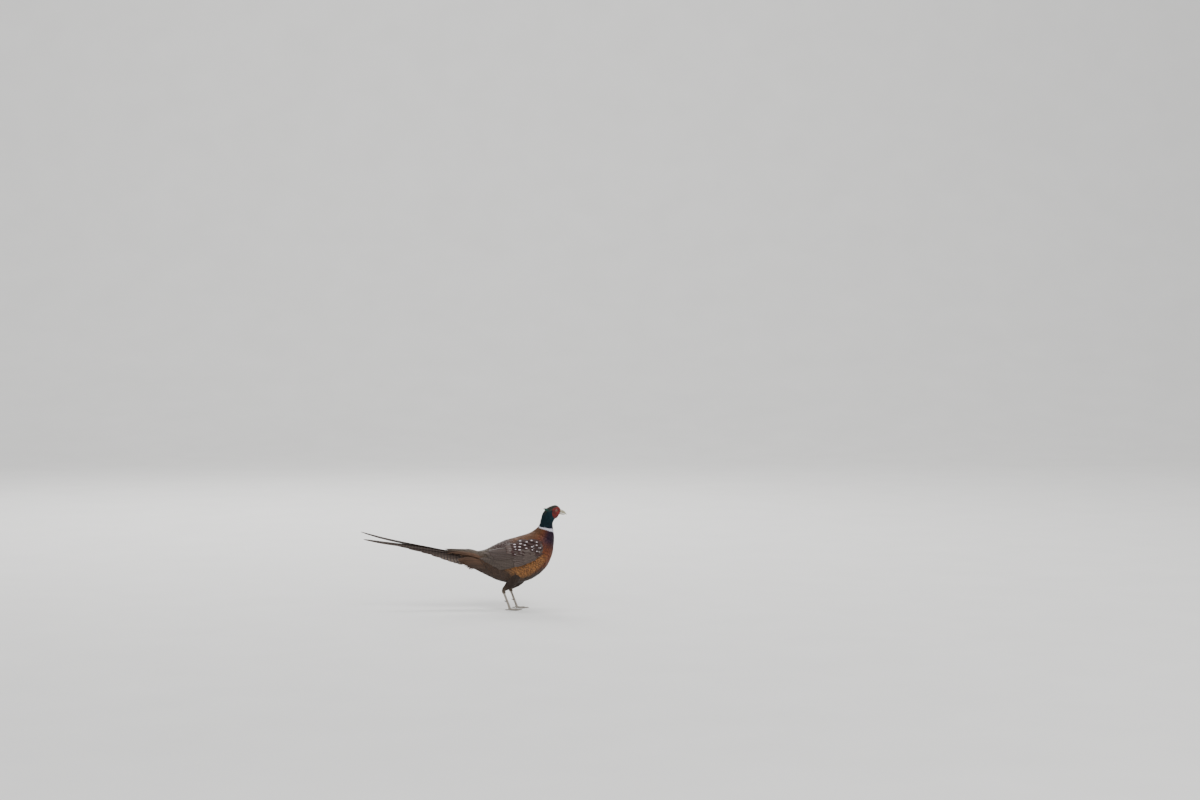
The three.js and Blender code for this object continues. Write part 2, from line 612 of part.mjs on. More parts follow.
const sockets = [1, -1].map((side) => {
  const reach = EYE.radius + GAP;
  return ball(eyePlace(side), [reach, reach, reach], EYE.sides);
});
show("head", keepLargest(sockets.reduce((left, socket) => left.subtract(socket), headPart)), "head");
show("neck", neckPart, "neck");
show("torso", torsoPart, "torso");
show("bill_upper", keepLargest(upperBill().subtract(around)), "bill");
show("bill_lower", keepLargest(lowerBill().subtract(around)), "bill");
const tailFace = stationPlane(CUTS.tail);
const tailRoom = around.trimByPlane(tailFace.normal.map((v) => -v), -tailFace.offset - GAP / 2);
show("rump", keepLargest(fuse([rumpPart, ...rumpVanes()]).subtract(tailRoom)), "rump");
show("tail", fuse(tail(tailCore)), "tail");
for (const [name, side] of [["left", 1], ["right", -1]]) {
  show(`eye_${name}`, ball(eyePlace(side), [EYE.radius, EYE.radius, EYE.radius], EYE.sides), "eye");
  show(`wattle_${name}`, wattle(side, around), "wattle");
  show(`ear_tuft_${name}`, horn(side, around), "head");
  show(`wing_${name}`, wing(side, around), "wing");
  const leg = shank(FEET[name]);
  const upperLeg = thigh(FEET[name], around);
  const legRoom = shankTube(FEET[name], GAP);
  show(`thigh_${name}`, keepLargest(upperLeg.subtract(legRoom)), "thigh");
  show(`shank_${name}`, leg, "leg");
  show(`foot_${name}`, foot(FEET[name], legRoom), "leg");
}

// The origin is on the floor, under the middle of the bird's whole length and width.
const box = new THREE.Box3().setFromObject(bird);
bird.position.set(-(box.min.x + box.max.x) / 2, -(box.min.y + box.max.y) / 2, 0);

export default bird;
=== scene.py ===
# %% [markdown]
# # A cock ring-necked pheasant
# The bird stands in profile with its head up, its wings folded and its long tail held a little high.
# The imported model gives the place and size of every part. This lesson dresses it: one skin over the
# flesh, then small feathers in rows, long feathers in tiers, and a head, bill and legs with their own
# surfaces.

# %% The frame
import json

import bpy
import numpy as np
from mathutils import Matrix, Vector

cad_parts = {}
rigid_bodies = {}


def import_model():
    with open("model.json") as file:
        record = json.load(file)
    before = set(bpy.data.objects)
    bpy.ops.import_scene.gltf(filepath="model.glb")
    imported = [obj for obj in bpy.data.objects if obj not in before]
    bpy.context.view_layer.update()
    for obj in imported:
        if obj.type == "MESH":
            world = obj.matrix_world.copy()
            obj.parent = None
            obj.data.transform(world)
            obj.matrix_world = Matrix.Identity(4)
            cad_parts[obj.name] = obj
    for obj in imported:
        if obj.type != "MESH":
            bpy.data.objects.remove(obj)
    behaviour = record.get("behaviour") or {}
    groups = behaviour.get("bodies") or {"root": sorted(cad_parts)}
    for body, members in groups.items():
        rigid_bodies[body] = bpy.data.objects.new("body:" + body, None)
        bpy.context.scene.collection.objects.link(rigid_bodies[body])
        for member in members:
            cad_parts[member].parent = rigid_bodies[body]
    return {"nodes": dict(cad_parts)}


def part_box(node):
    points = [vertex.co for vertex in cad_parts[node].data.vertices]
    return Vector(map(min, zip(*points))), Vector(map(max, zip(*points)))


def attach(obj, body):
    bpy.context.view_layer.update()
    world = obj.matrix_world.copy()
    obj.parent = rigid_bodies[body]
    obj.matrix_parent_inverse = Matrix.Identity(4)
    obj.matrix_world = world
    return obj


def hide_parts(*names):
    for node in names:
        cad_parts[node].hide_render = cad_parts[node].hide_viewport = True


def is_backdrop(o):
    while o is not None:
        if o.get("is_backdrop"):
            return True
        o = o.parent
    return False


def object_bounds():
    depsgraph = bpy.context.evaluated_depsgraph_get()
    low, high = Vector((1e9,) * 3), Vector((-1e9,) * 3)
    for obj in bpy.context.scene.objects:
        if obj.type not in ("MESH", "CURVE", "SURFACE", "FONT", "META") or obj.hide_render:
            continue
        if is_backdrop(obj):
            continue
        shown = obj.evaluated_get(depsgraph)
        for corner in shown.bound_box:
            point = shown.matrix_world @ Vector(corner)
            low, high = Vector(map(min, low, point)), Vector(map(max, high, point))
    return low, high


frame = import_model()
cad_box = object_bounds()
print("nodes in the frame:", sorted(frame["nodes"]))

# %% [markdown]
# ## Sizes
# The sizes are in millimetres from the side view, with zero at the floor, as they are where the solids
# are drawn. Each station of the trunk has a point on the back, a point on the front and half a width. A
# table of stations and a smooth curve through them is easier to read and change than thousands of
# points.

# %% The trunk's stations
SHIFT = 229.34
STATIONS = (
    # back x, back z, front x, front z, half width
    (171, 410, 165, 396, 6.5),  # 0 bill base
    (160, 424, 156, 380, 14.5),  # 1 brow
    (144, 429.5, 145, 371.5, 18.5),  # 2 crown
    (113, 418, 137.5, 357, 17.5),  # 3 nape
    (96, 398, 137, 341, 17),  # 4 throat
    (87, 371, 139, 323, 19),  # 5 neck
    (78, 343, 142, 305, 25),  # 6 ring
    (44, 317, 141, 270, 42),  # 7 shoulder
    (-8, 300, 133, 222, 60),  # 8 breast
    (-62, 285, 108, 172, 68),  # 9 keel
    (-106, 265, 58, 130, 68),  # 10 flank
    (-136, 250, -8, 109, 60),  # 11 belly
    (-161, 243, -80, 117, 44),  # 12 rump
    (-186, 242, -142, 145, 33),  # 13 vent
    (-216, 243, -196, 172, 23),  # 14 tail root
    (-250, 246, -246, 194, 16),  # 15 tail core
)
TRUNK = np.array(STATIONS, float)
LAST = len(TRUNK) - 1
FULLNESS = 0.88
EYE_CENTRE, EYE_RADIUS = (150.0, 408.0), 5.4
SIDES = {"left": 1, "right": -1}
FEET = {"left": (-12.0, 33.0), "right": (-42.0, -33.0)}
HOCK_BACK, HOCK_Z, ANKLE_Z = 25.0, 77.0, 9.0
KNEE_FORWARD, KNEE_Z, KNEE_IN = 28.0, 150.0, 4.0
draws = np.random.default_rng(7)


def spline(points, share):
    """A Catmull-Rom curve: between two points it leaves each along the line that joins that point's
    neighbours. Share runs from 0 at the first point to 1 at the last."""
    points = np.asarray(points, float)
    last = len(points) - 1
    place = np.clip(np.asarray(share, float), 0, 1) * last
    i = np.minimum(place.astype(int), last - 1)
    w = (place - i)[..., None]
    p0, p1 = points[np.maximum(i - 1, 0)], points[i]
    p2, p3 = points[i + 1], points[np.minimum(i + 2, last)]
    v0, v1 = (p2 - p0) / 2, (p3 - p1) / 2
    return (2 * p1 - 2 * p2 + v0 + v1) * w**3 + (3 * p2 - 3 * p1 - 2 * v0 - v1) * w**2 + v0 * w + p1


def smooth(low, high, value):
    """0 below low, 1 above high, and an S between them."""
    share = np.clip((np.asarray(value, float) - low) / (high - low), 0, 1)
    return share * share * (3 - 2 * share)


def mix(a, b, share):
    """a where share is 0 and b where it is 1."""
    return a + (b - a) * share


def unit(v):
    """v at length 1."""
    return v / np.maximum(np.linalg.norm(v, axis=-1, keepdims=True), 1e-9)


def net(low, high, rows, around, start=0.0):
    """A grid of rows from low to high by turns once round from start, as two arrays."""
    turns = np.linspace(start, start + 2 * np.pi, around, endpoint=False)
    return np.meshgrid(np.linspace(low, high, rows), turns, indexing="ij")


def ball_net(rows, around, start=0.0):
    """A unit ball as rings from below to above: how far forward, out and up each point lies."""
    rise, turn = net(-1.5, 1.5, rows, around, start)
    return np.cos(rise) * np.cos(turn), np.cos(rise) * np.sin(turn), np.sin(rise)


# %% [markdown]
# ## The trunk as a surface
# A point of the trunk has a station along it and a turn round it, from 0 at the back through a quarter
# turn at the left side to half a turn at the front. Feathers are laid in these two numbers, so they
# follow the body's shape by themselves. A sculpted mesh would need a search for the nearest face at
# every feather.

# %% The trunk's surface
def trunk(station, turn, grow=0.0):
    """The middle of back and front, plus the cosine of turn times half their span, with the sine of
    turn times the half width to the side. Both waves are a little fuller than a circle's."""
    at = spline(TRUNK, np.asarray(station, float) / LAST)
    middle = (at[..., 0:2] + at[..., 2:4]) / 2
    up = (at[..., 0:2] - at[..., 2:4]) / 2
    length = np.linalg.norm(up, axis=-1)
    cosine, sine = np.cos(turn), np.sin(turn)
    rise = np.sign(cosine) * np.abs(cosine) ** FULLNESS * (1 + grow / length)
    out = np.sign(sine) * np.abs(sine) ** FULLNESS * (at[..., 4] + grow)
    return np.stack([middle[..., 0] + up[..., 0] * rise, out, middle[..., 1] + up[..., 1] * rise], -1)


def normal_of(surface, station, turn):
    """The cross product of the ways round and along a surface."""
    step = 0.02
    along = surface(station + step, turn) - surface(station - step, turn)
    round_ = surface(station, turn + step) - surface(station, turn - step)
    return unit(np.cross(round_, along))


def side_place(x, z, side, lowest=3.7):
    """The station and turn under a point of the side view, by halving the stations 30 times."""
    x, z = np.asarray(x, float), np.asarray(z, float)
    low, high = np.full(x.shape, lowest), np.full(x.shape, float(LAST))
    for _ in range(30):
        middle = (low + high) / 2
        at = spline(TRUNK, middle / LAST)
        back_x, back_z = at[..., 0] - at[..., 2], at[..., 1] - at[..., 3]
        ahead = back_x * (z - at[..., 3]) - back_z * (x - at[..., 2])
        low, high = np.where(ahead > 0, middle, low), np.where(ahead > 0, high, middle)
    at = spline(TRUNK, low / LAST)
    up = at[..., 0:2] - at[..., 2:4]
    share = ((x - at[..., 2]) * up[..., 0] + (z - at[..., 3]) * up[..., 1]) / (up**2).sum(-1)
    rise = np.clip(2 * share - 1, -0.98, 0.98)
    return low, side * np.arccos(np.sign(rise) * np.abs(rise) ** (1 / FULLNESS))


def limb(points, radii):
    """A surface round a path: station 0 to 1 along it, turn round it from its front."""
    points, radii = np.array(points, float), np.array(radii, float)[:, None]

    def surface(station, turn, grow=0.0):
        """The path's point plus the radius along front and side by the cosine and sine of turn."""
        station, turn = np.broadcast_arrays(np.asarray(station, float), np.asarray(turn, float))
        at = spline(points, station)
        ahead = unit(spline(points, station + 0.01) - spline(points, station - 0.01))
        front = unit(np.array([1.0, 0, 0]) - ahead * ahead[..., :1])
        side = np.cross(ahead, front)
        reach = spline(radii, station)[..., 0] + grow
        return at + (front * np.cos(turn)[..., None] + side * np.sin(turn)[..., None]) * reach[..., None]

    return surface


def thigh_surface(name):
    """The feathered leg from the knee to the hock."""
    x, y = FEET[name]
    inward = np.sign(y) * KNEE_IN
    knee = (x + KNEE_FORWARD, y - inward, KNEE_Z)
    middle, hock, cuff = (x + 6, y - inward / 2, 112), (x - 22, y, 86), (x - 23.2, y, 72.5)
    return limb([knee, middle, hock, cuff], [30, 20, 9, 7.4])


print("breast width in mm:", round(2 * float(trunk(9.3, np.pi / 2)[1]), 1))

# %% [markdown]
# ## Meshes from arrays
# Every new piece is made from whole arrays of points. A grid of rows and columns becomes quads, and a
# grid that closes round its columns becomes a tube with its ends closed by a fan. Feathers are many
# small closed tubes, flat as a blade, joined in one mesh.

# %% From arrays to meshes
def make_mesh(name, points, faces, material, maps=None, colours=None, floats=None):
    """One object from points in millimetres, an array of quads and an array of triangles, and its
    material. Maps, colours and floats are given per point."""
    quads, triangles = faces
    mesh = bpy.data.meshes.new(name)
    corners = np.concatenate([quads.ravel(), triangles.ravel()]).astype(np.int32)
    sizes = np.concatenate([np.full(len(quads), 4), np.full(len(triangles), 3)]).astype(np.int32)
    mesh.vertices.add(len(points))
    placed = (points + [SHIFT, 0, 0]) / 1000
    mesh.vertices.foreach_set("co", placed.astype(np.float32).ravel())
    mesh.loops.add(len(corners))
    mesh.loops.foreach_set("vertex_index", corners)
    mesh.polygons.add(len(sizes))
    mesh.polygons.foreach_set("loop_start", (np.cumsum(sizes) - sizes).astype(np.int32))
    mesh.update(calc_edges=True)
    mesh.polygons.foreach_set("use_smooth", np.ones(len(sizes), bool))
    for title, values in (maps or {}).items():
        layer = mesh.uv_layers.new(name=title)
        layer.data.foreach_set("uv", values[corners].astype(np.float32).ravel())
    for title, values in (colours or {}).items():
        layer = mesh.color_attributes.new(title, "FLOAT_COLOR", "POINT")
        full = np.concatenate([values, np.ones((len(values), 1))], 1)
        layer.data.foreach_set("color", full.astype(np.float32).ravel())
    for title, values in (floats or {}).items():
        layer = mesh.attributes.new(title, "FLOAT", "POINT")
        layer.data.foreach_set("value", values.astype(np.float32))
    mesh.validate()
    mesh.materials.append(material)
    thing = bpy.data.objects.new(name, mesh)
    bpy.context.scene.collection.objects.link(thing)
    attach(thing, "root")
    return thing


def tube_faces(count, rows, around):
    """Quads between the rows of count tubes, and fans of triangles over both ends of each. The two fan
    centres are the last points of each tube."""
    size = rows * around + 2
    j, k = np.meshgrid(np.arange(rows - 1), np.arange(around), indexing="ij")
    a, b = j * around + k, j * around + (k + 1) % around
    quads = np.stack([a, b, b + around, a + around], -1).reshape(-1, 4)
    k = np.arange(around)
    first = np.stack([np.full(around, rows * around), (k + 1) % around, k], -1)
    end = (rows - 1) * around
    last = np.stack([np.full(around, rows * around + 1), end + k, end + (k + 1) % around], -1)
    starts = (np.arange(count) * size)[:, None, None]
    return (quads + starts).reshape(-1, 4), (np.concatenate([first, last]) + starts).reshape(-1, 3)


def with_ends(rows):
    """Rows of points (tubes, rows, around, values) as (tubes, points, values), with each end's mean
    added."""
    flat = rows.reshape(rows.shape[0], -1, rows.shape[-1])
    return np.concatenate([flat, rows[:, :1].mean(2), rows[:, -1:].mean(2)], 1)


def join_grids(grids):
    """Several closed grids of points, turned outwards, as one array of rows and its faces. Values after
    the first three of a point, such as its colour, are carried along."""
    points, quads, triangles, start = [], [], [], 0
    for grid in grids:
        closed = with_ends(grid[None])[0]
        q, t = tube_faces(1, *grid.shape[:2])
        corners = closed[q, :3]
        flow = np.cross(corners[:, 1] - corners[:, 0], corners[:, 3] - corners[:, 0])
        if ((corners[:, 0] - closed[:, :3].mean(0)) * flow).sum() < 0:
            q, t = q[:, ::-1], t[:, ::-1]
        points.append(closed)
        quads.append(q + start)
        triangles.append(t + start)
        start += len(closed)
    return np.concatenate(points), (np.concatenate(quads), np.concatenate(triangles))


# %% [markdown]
# ## Feathers
# A feather is a blade along a line of points. Its width grows from the quill, holds, and rounds off at
# the tip. It is cupped across, it has a small rib for the shaft, and it is closed, so it is a real
# solid. Its own map runs across and along it, which lets the material draw the shaft, the barbs, a dark
# fringe or bars where they belong.

# %% One blade or ten thousand
def blades(centre, ups, half, thick, columns, cup=0.1, belly=0.5, tip=0.18, root=0.45, point=2.4,
           rib=0.25):
    """Blades from centre lines (count, rows, 3) with their ups. The half width is half at the belly,
    root times that at the quill, and falls to tip times that by the point's power. The points sink by
    cup times the width's square."""
    count, rows = centre.shape[:2]
    v = np.linspace(0, 1, rows)
    ahead = np.gradient(centre, axis=1)
    side = unit(np.cross(ups, ahead))
    up = unit(np.cross(ahead, side))
    end = np.clip((v - belly) / (1 - belly), 0, 1)
    narrowed = np.maximum(tip, np.sqrt(1 - np.minimum(end, 0.999) ** point))
    wide = (root + (1 - root) * smooth(0, belly, v)) * narrowed
    width = np.asarray(half, float).reshape(count, 1) * wide
    a = np.linspace(-1, 1, columns)
    top_lift = rib * np.exp(-((a / 0.16) ** 2))
    across = np.concatenate([a, a[-2:0:-1]])
    lift = np.concatenate([thick / 2 * (1 - a**4) + top_lift, -thick / 2 * (1 - a[-2:0:-1] ** 4)])
    sink = cup * across**2
    around = len(across)
    taper = (1.1 - 0.6 * v)[None, :, None, None]
    points = centre[:, :, None] + side[:, :, None] * (width[:, :, None] * across)[..., None]
    points = points + up[:, :, None] * (lift[:, None] * taper - sink[:, None] * width[:, :, None, None])
    maps = np.stack(np.broadcast_arrays(across[None, None] / 2 + 0.5, v[None, :, None]), -1)
    maps = np.broadcast_to(maps, (count, rows, around, 2))
    return with_ends(points), with_ends(maps), (rows, around)


def atlas_patch(roots, vane, size=0.003):
    """A patch of that size round each root on the unwrap of the skin, with the blade's own map inside
    it."""
    return roots[:, None] + (vane - 0.5) * size


def joined(parts):
    """Several sets of blades as one array of points, its faces, its maps and its look."""
    points, quads, triangles, vanes, baked, looks, start = [], [], [], [], [], [], 0
    for (grid, vane, (rows, around)), bake, look in parts:
        count, per = grid.shape[:2]
        q, t = tube_faces(count, rows, around)
        points.append(grid.reshape(-1, 3))
        quads.append(q + start)
        triangles.append(t + start)
        vanes.append(vane.reshape(-1, 2))
        baked.append(bake.reshape(-1, 2))
        looks.append({key: np.repeat(value, per, 0) for key, value in look.items()})
        start += count * per
    faces = np.concatenate(quads), np.concatenate(triangles)
    maps = {"OFBake": np.concatenate(baked), "Vane": np.concatenate(vanes)}
    look = {key: np.concatenate([one[key] for one in looks]) for key in looks[0]}
    return np.concatenate(points), faces, maps, look


def show_feathers(name, parts, paint, *nodes):
    """One piece from sets of blades, each with its baked map and its look. It hides the CAD nodes that are
    given, in whose place it stands.
    The look gives each feather its colours of ground, fringe and heart, its marks (how far the fringe
    comes in, how strong the bars or collar are, how strong the heart is), its gloss and its bars."""
    points, faces, maps, look = joined(parts)
    colours = {key.title(): look[key] for key in ("ground", "fringe", "heart", "marks")}
    floats = {key.title(): look[key].ravel() for key in ("gloss", "bars")}
    piece = make_mesh(name, points, faces, paint, maps, colours, floats)
    if nodes:
        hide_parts(*nodes)
    return piece


# %% [markdown]
# ## Shader sums
# A colour pattern is easier to read as a sum than as a web of nodes. A small class wraps one output of
# the tree, so that an expression such as 1 - mask adds its Math node. Colours go through Mix, and any
# other node comes from one method that sets its options first and then its sockets.

# %% Paint and wires
class Wire:
    """One output of a paint's tree. Sums, products and powers of wires add Math nodes."""

    def __init__(self, paint, socket):
        self.paint, self.socket = paint, socket

    def math(self, operation, *others):
        return self.paint.node("Math", {"operation": operation}, dict(enumerate([self, *others])))

    def __add__(self, other):
        return self.math("ADD", other)

    def __sub__(self, other):
        return self.math("SUBTRACT", other)

    def __rsub__(self, other):
        return self.paint.node("Math", {"operation": "SUBTRACT"}, {0: other, 1: self})

    def __mul__(self, other):
        return self.math("MULTIPLY", other)

    def __pow__(self, other):
        return self.math("POWER", other)

    __radd__, __rmul__ = __add__, __mul__

    def ramp(self, low, high):
        """0 below low and 1 above high, with an S between."""
        settings = {"interpolation_type": "SMOOTHSTEP"}
        return self.paint.node("MapRange", settings, {"Value": self, "From Min": low, "From Max": high})


class Paint:
    """A material built from expressions. Numbers that are the same all over go straight to the shader's
    sockets."""

    def __init__(self, name, **constants):
        self.material = bpy.data.materials.new(name)
        self.material.use_nodes = True
        self.tree = self.material.node_tree
        self.shader = self.tree.nodes["Principled BSDF"]
        for socket, value in constants.items():
            self.shader.inputs[socket.replace("_", " ").title()].default_value = value

    def fill(self, socket, value):
        if isinstance(value, Wire):
            self.tree.links.new(value.socket, socket)
        elif hasattr(socket.default_value, "__len__") and not isinstance(value, str) and len(value) == 3:
            count = len(socket.default_value)
            socket.default_value = tuple(value) + (1.0,) * (count - 3)
        else:
            socket.default_value = value

    def node(self, kind, settings, inputs, output=0):
        made = self.tree.nodes.new("ShaderNode" + kind)
        for key, value in settings.items():
            setattr(made, key, value)
        for key, value in inputs.items():
            self.fill(made.inputs[key], value)
        return Wire(self, made.outputs[output])

    def blend(self, share, first, second, how="MIX"):
        """The colour first where share is 0 and second where it is 1."""
        made = self.tree.nodes.new("ShaderNodeMix")
        made.data_type, made.blend_type = "RGBA", how
        for index, value in ((0, share), (6, first), (7, second)):
            self.fill(made.inputs[index], value)
        return Wire(self, made.outputs[2])

    def attribute(self, name, output):
        return self.node("Attribute", {"attribute_name": name}, {}, output)

    def parts(self, vector):
        """The three numbers of a vector or colour."""
        made = self.tree.nodes.new("ShaderNodeSeparateXYZ")
        self.fill(made.inputs[0], vector)
        return [Wire(self, out) for out in made.outputs]

    def place(self):
        return self.node("TexCoord", {}, {}, "Object")

    def noise(self, vector, scale, detail):
        return self.node("TexNoise", {}, {"Vector": vector, "Scale": scale, "Detail": detail})

    def bump(self, height, strength, distance):
        inputs = {"Height": height, "Strength": strength, "Distance": distance}
        return self.node("Bump", {}, inputs)

    def feed(self, **sockets):
        for socket, value in sockets.items():
            self.fill(self.shader.inputs[socket.replace("_", " ").title()], value)
        return self.material


# %% [markdown]
# ## The plumage's paint
# Every feather of the coat shares one paint. The feather's own map says where the shaft, the barbs and
# the tip are. Its attributes bring the colour of its ground, the colour of its fringe, how wide the
# fringe is, and how strong its bars are. So the pattern follows each feather, and the colours follow
# the bird.

# %% Feather paint
COLLAR = (0.016, 0.009, 0.01)
ONE_WAVE = 6.283  # a whole wave of a sine


def feather_paint(name, rough, barred=False):
    """Ground, then its heart and dark collar or its bars, then the fringe at tip and sides, the shaft
    and the barbs."""
    paint = Paint(name)
    paint.shader.inputs["Specular IOR Level"].default_value = 0.3
    across, along, _ = paint.parts(paint.node("UVMap", {"uv_map": "Vane"}, {}))
    ground, fringe, heart = (paint.attribute(title, "Color") for title in ("Ground", "Fringe", "Heart"))
    width, strength, hearted = paint.parts(paint.attribute("Marks", "Vector"))
    out = (across * 2 - 1).math("ABSOLUTE")
    wander = paint.noise(paint.place(), 240.0, 2.0) - 0.5
    colour = ground
    if barred:
        bars = along * paint.attribute("Bars", "Fac") - out * 0.18 + wander * 0.25
        wave = (bars * ONE_WAVE).math("SINE")
        band = (wave + wander * 0.8).ramp(0.35, 0.75) * (1 - out.ramp(0.7, 1.0) * 0.6)
        colour = paint.blend(band * strength, colour, heart)
        rim = (out + width + wander * 0.3).ramp(0.95, 1.1)
    else:
        size = paint.attribute("Bars", "Fac")
        middle = 1 - (out * 1.25 * size) ** 2.0 - ((along - 0.7).math("ABSOLUTE") * 3.4 * size) ** 2.0
        colour = paint.blend((middle + wander * 0.5).ramp(0.0, 0.4) * hearted, colour, heart)
        reach = out**2.4 * 0.26 + along**1.6 * 0.92 + wander * 0.16
        collar = (reach + width * 1.9).ramp(0.93, 1.06) * strength
        colour = paint.blend(collar, colour, COLLAR)
        rim = (reach + width).ramp(0.94, 1.05)
    colour = paint.blend(rim, colour, fringe)
    barb = ((along * 40 - out * 15 + wander * 1.6) * ONE_WAVE).math("SINE")
    shade = paint.blend(barb * 0.5 + 0.5, (0.72, 0.72, 0.72), (1.12, 1.12, 1.12))
    shaft = 1 - out.ramp(0.02, 0.08)
    shade = paint.blend(shaft, shade, (1.5, 1.45, 1.4))
    colour = paint.blend(1.0, colour, shade, "MULTIPLY")
    gloss = paint.attribute("Gloss", "Fac")
    return paint.feed(
        base_color=colour,
        metallic=gloss * 0.7,
        roughness=rough - gloss * 0.28 + wander * 0.2,
        normal=paint.bump(barb * 0.5 + shaft, 0.2, 0.0002),
    )


coat_paint = feather_paint("coat feathers", rough=0.68)
barred_paint = feather_paint("barred feathers", rough=0.6, barred=True)
print("coat paint nodes:", len(coat_paint.node_tree.nodes))

# %% [markdown]
# ## Where each colour lies
# The colours belong to places on the bird: a dark head and neck with a green and violet gloss, a white
# ring that is broad in front and thin behind, a copper breast, a golden mantle and flanks with dark
# scales, a brown rump and a sooty belly. Each place is a soft mask of station and turn, laid over the
# ones before it. The skin uses the same masks, so it never shows through in another colour.

# %% Colours and masks
TEAL, INK, VIOLET = (0.003, 0.018, 0.025), (0.003, 0.004, 0.006), (0.015, 0.007, 0.028)
PLUM, COPPER, GOLD = (0.022, 0.008, 0.02), (0.13, 0.036, 0.011), (0.29, 0.135, 0.037)
AMBER, MAROON, MAUVE = (0.15, 0.058, 0.018), (0.034, 0.014, 0.012), (0.08, 0.058, 0.051)
MOSS, RUST, SOOT = (0.07, 0.052, 0.038), (0.075, 0.036, 0.018), (0.022, 0.013, 0.009)
# The olive of the band along the head's upper side is painted sheen, not a feather colour.
SNOW, BRONZE, HEAD_SHEEN = (0.66, 0.65, 0.74), (0.016, 0.017, 0.011), (0.04, 0.036, 0.022)
SPOT, UMBER, WINE = (0.5, 0.46, 0.48), (0.036, 0.021, 0.014), (0.065, 0.034, 0.026)
COVERT, RUST_EDGE, MOSS_EDGE = (0.078, 0.056, 0.048), (0.1, 0.052, 0.027), (0.09, 0.062, 0.045)
COPPER_EDGE, AMBER_EDGE, MAROON_EDGE = (0.024, 0.009, 0.02), (0.09, 0.032, 0.014), (0.07, 0.038, 0.028)
UMBER_EDGE, GOLD_EDGE, SOOT_EDGE = (0.085, 0.042, 0.02), (0.018, 0.012, 0.014), (0.05, 0.026, 0.014)


class Plumage(dict):
    """The look of many feathers at once: arrays of colours, marks, gloss and bars that are laid over
    each other."""

    def __init__(self, count, ground, fringe, heart=SOOT, marks=(0.1, 0, 0), gloss=0.0, bars=1.0):
        super().__init__()
        values = dict(ground=ground, fringe=fringe, heart=heart, marks=marks, gloss=gloss, bars=bars)
        for key, value in values.items():
            self[key] = np.tile(np.atleast_1d(np.asarray(value, float)), (count, 1))

    def lay(self, share, **values):
        """Mixes the values in by each feather's share."""
        share = np.broadcast_to(np.asarray(share, float), (len(self["ground"]),))[:, None]
        for key, value in values.items():
            self[key] = self[key] + (np.asarray(value, float) - self[key]) * share
        return self

    def vary(self, amount=0.12):
        """Makes each feather a little lighter or darker."""
        count = len(self["ground"])
        shade = (1 + amount * draws.standard_normal((count, 1))).clip(0.6, 1.5)
        self["ground"] = self["ground"] * shade
        self["marks"] = self["marks"] + draws.uniform(-0.035, 0.035, (count, 1)) * [1, 0, 0]
        return self


def trunk_plumage(station, turn):
    """The masks of the whole trunk, from the bill back. A mask lies behind or before a station and
    below or above a turn."""
    s, t = np.ravel(station), np.abs(np.ravel(turn))

    def behind(low, high):
        return smooth(low, high, s)

    def before(low, high):
        return 1 - smooth(low, high, s)

    def below(low, high):
        return smooth(low, high, t)

    def above(low, high):
        return 1 - smooth(low, high, t)

    look = Plumage(len(s), TEAL, INK, marks=(0.08, 0, 0), gloss=0.85)
    front = below(0.6, 2.9)
    crown = above(0.8, 1.0) * before(3.0, 4.2)
    look.lay(crown, ground=BRONZE, fringe=SOOT, gloss=0.3)
    # Painted sheen: a band along the upper side of the head, from the bill to behind the crown, is a paler
    # olive copy of the crown's colour where the light glints off the glossy feathers.
    painted_sheen_band = below(0.86, 0.96) * above(1.08, 1.2) * behind(0.7, 1.1) * before(2.3, 3.0)
    look.lay(painted_sheen_band, ground=HEAD_SHEEN, fringe=HEAD_SHEEN, gloss=0.0)
    throat = below(1.5, 2.6) * behind(3.6, 4.6)
    look.lay(throat, ground=VIOLET)
    ring, wide = 5.78 - 1.13 * front, 0.05 + 0.25 * front
    body = smooth(0, 0.1, s - ring)
    look.lay(body, ground=COPPER, fringe=COPPER_EDGE, marks=(0.1, 0, 0), gloss=0.35)
    collar = body * before(6.5, 7.7) * below(1.25, 1.9)
    look.lay(collar, ground=PLUM, gloss=0.7)
    mantle = body * above(0.9, 1.45)
    look.lay(mantle, ground=AMBER, fringe=AMBER_EDGE, heart=SOOT, marks=(0.1, 0.25, 0.5), gloss=0.08)
    back = behind(7.9, 8.6) * above(0.9, 1.3)
    look.lay(back, ground=MAROON, fringe=MAROON_EDGE, heart=MAUVE)
    look.lay(back, marks=(0.06, 0.5, 0.7), gloss=0.05, bars=1.4)
    rump = behind(9.3, 10.2) * above(1.2, 1.6)
    look.lay(rump, ground=MOSS, fringe=MOSS_EDGE, heart=SOOT, marks=(0.1, 0.2, 0.15), gloss=0.05)
    rump_side = behind(10.9, 11.8) * below(0.75, 1.1) * above(1.6, 2.0)
    look.lay(rump_side, ground=RUST, fringe=(0.12, 0.06, 0.03))
    vent = behind(8.8, 9.8) * below(1.15, 1.5)
    look.lay(vent, ground=UMBER, fringe=UMBER_EDGE, marks=(0.08, 0, 0), gloss=0.05)
    flank = behind(7.6, 8.4) * before(9.6, 10.7) * below(1.1, 1.4) * above(2.2, 2.6)
    look.lay(flank, ground=GOLD, fringe=GOLD_EDGE, heart=COPPER, marks=(0.14, 0, 0.5), gloss=0.12)
    belly = behind(8.0, 9.2) * below(2.3, 2.7)
    look.lay(belly, ground=SOOT, fringe=SOOT_EDGE, marks=(0.1, 0, 0), gloss=0.1)
    white = 1 - smooth(wide, wide + 0.06, np.abs(s - ring))
    return look.lay(white, ground=SNOW, fringe=SNOW, marks=(0.0, 0, 0), gloss=0.0)


print("ring at the throat:", trunk_plumage([5.3], [3.1])["ground"].round(2))

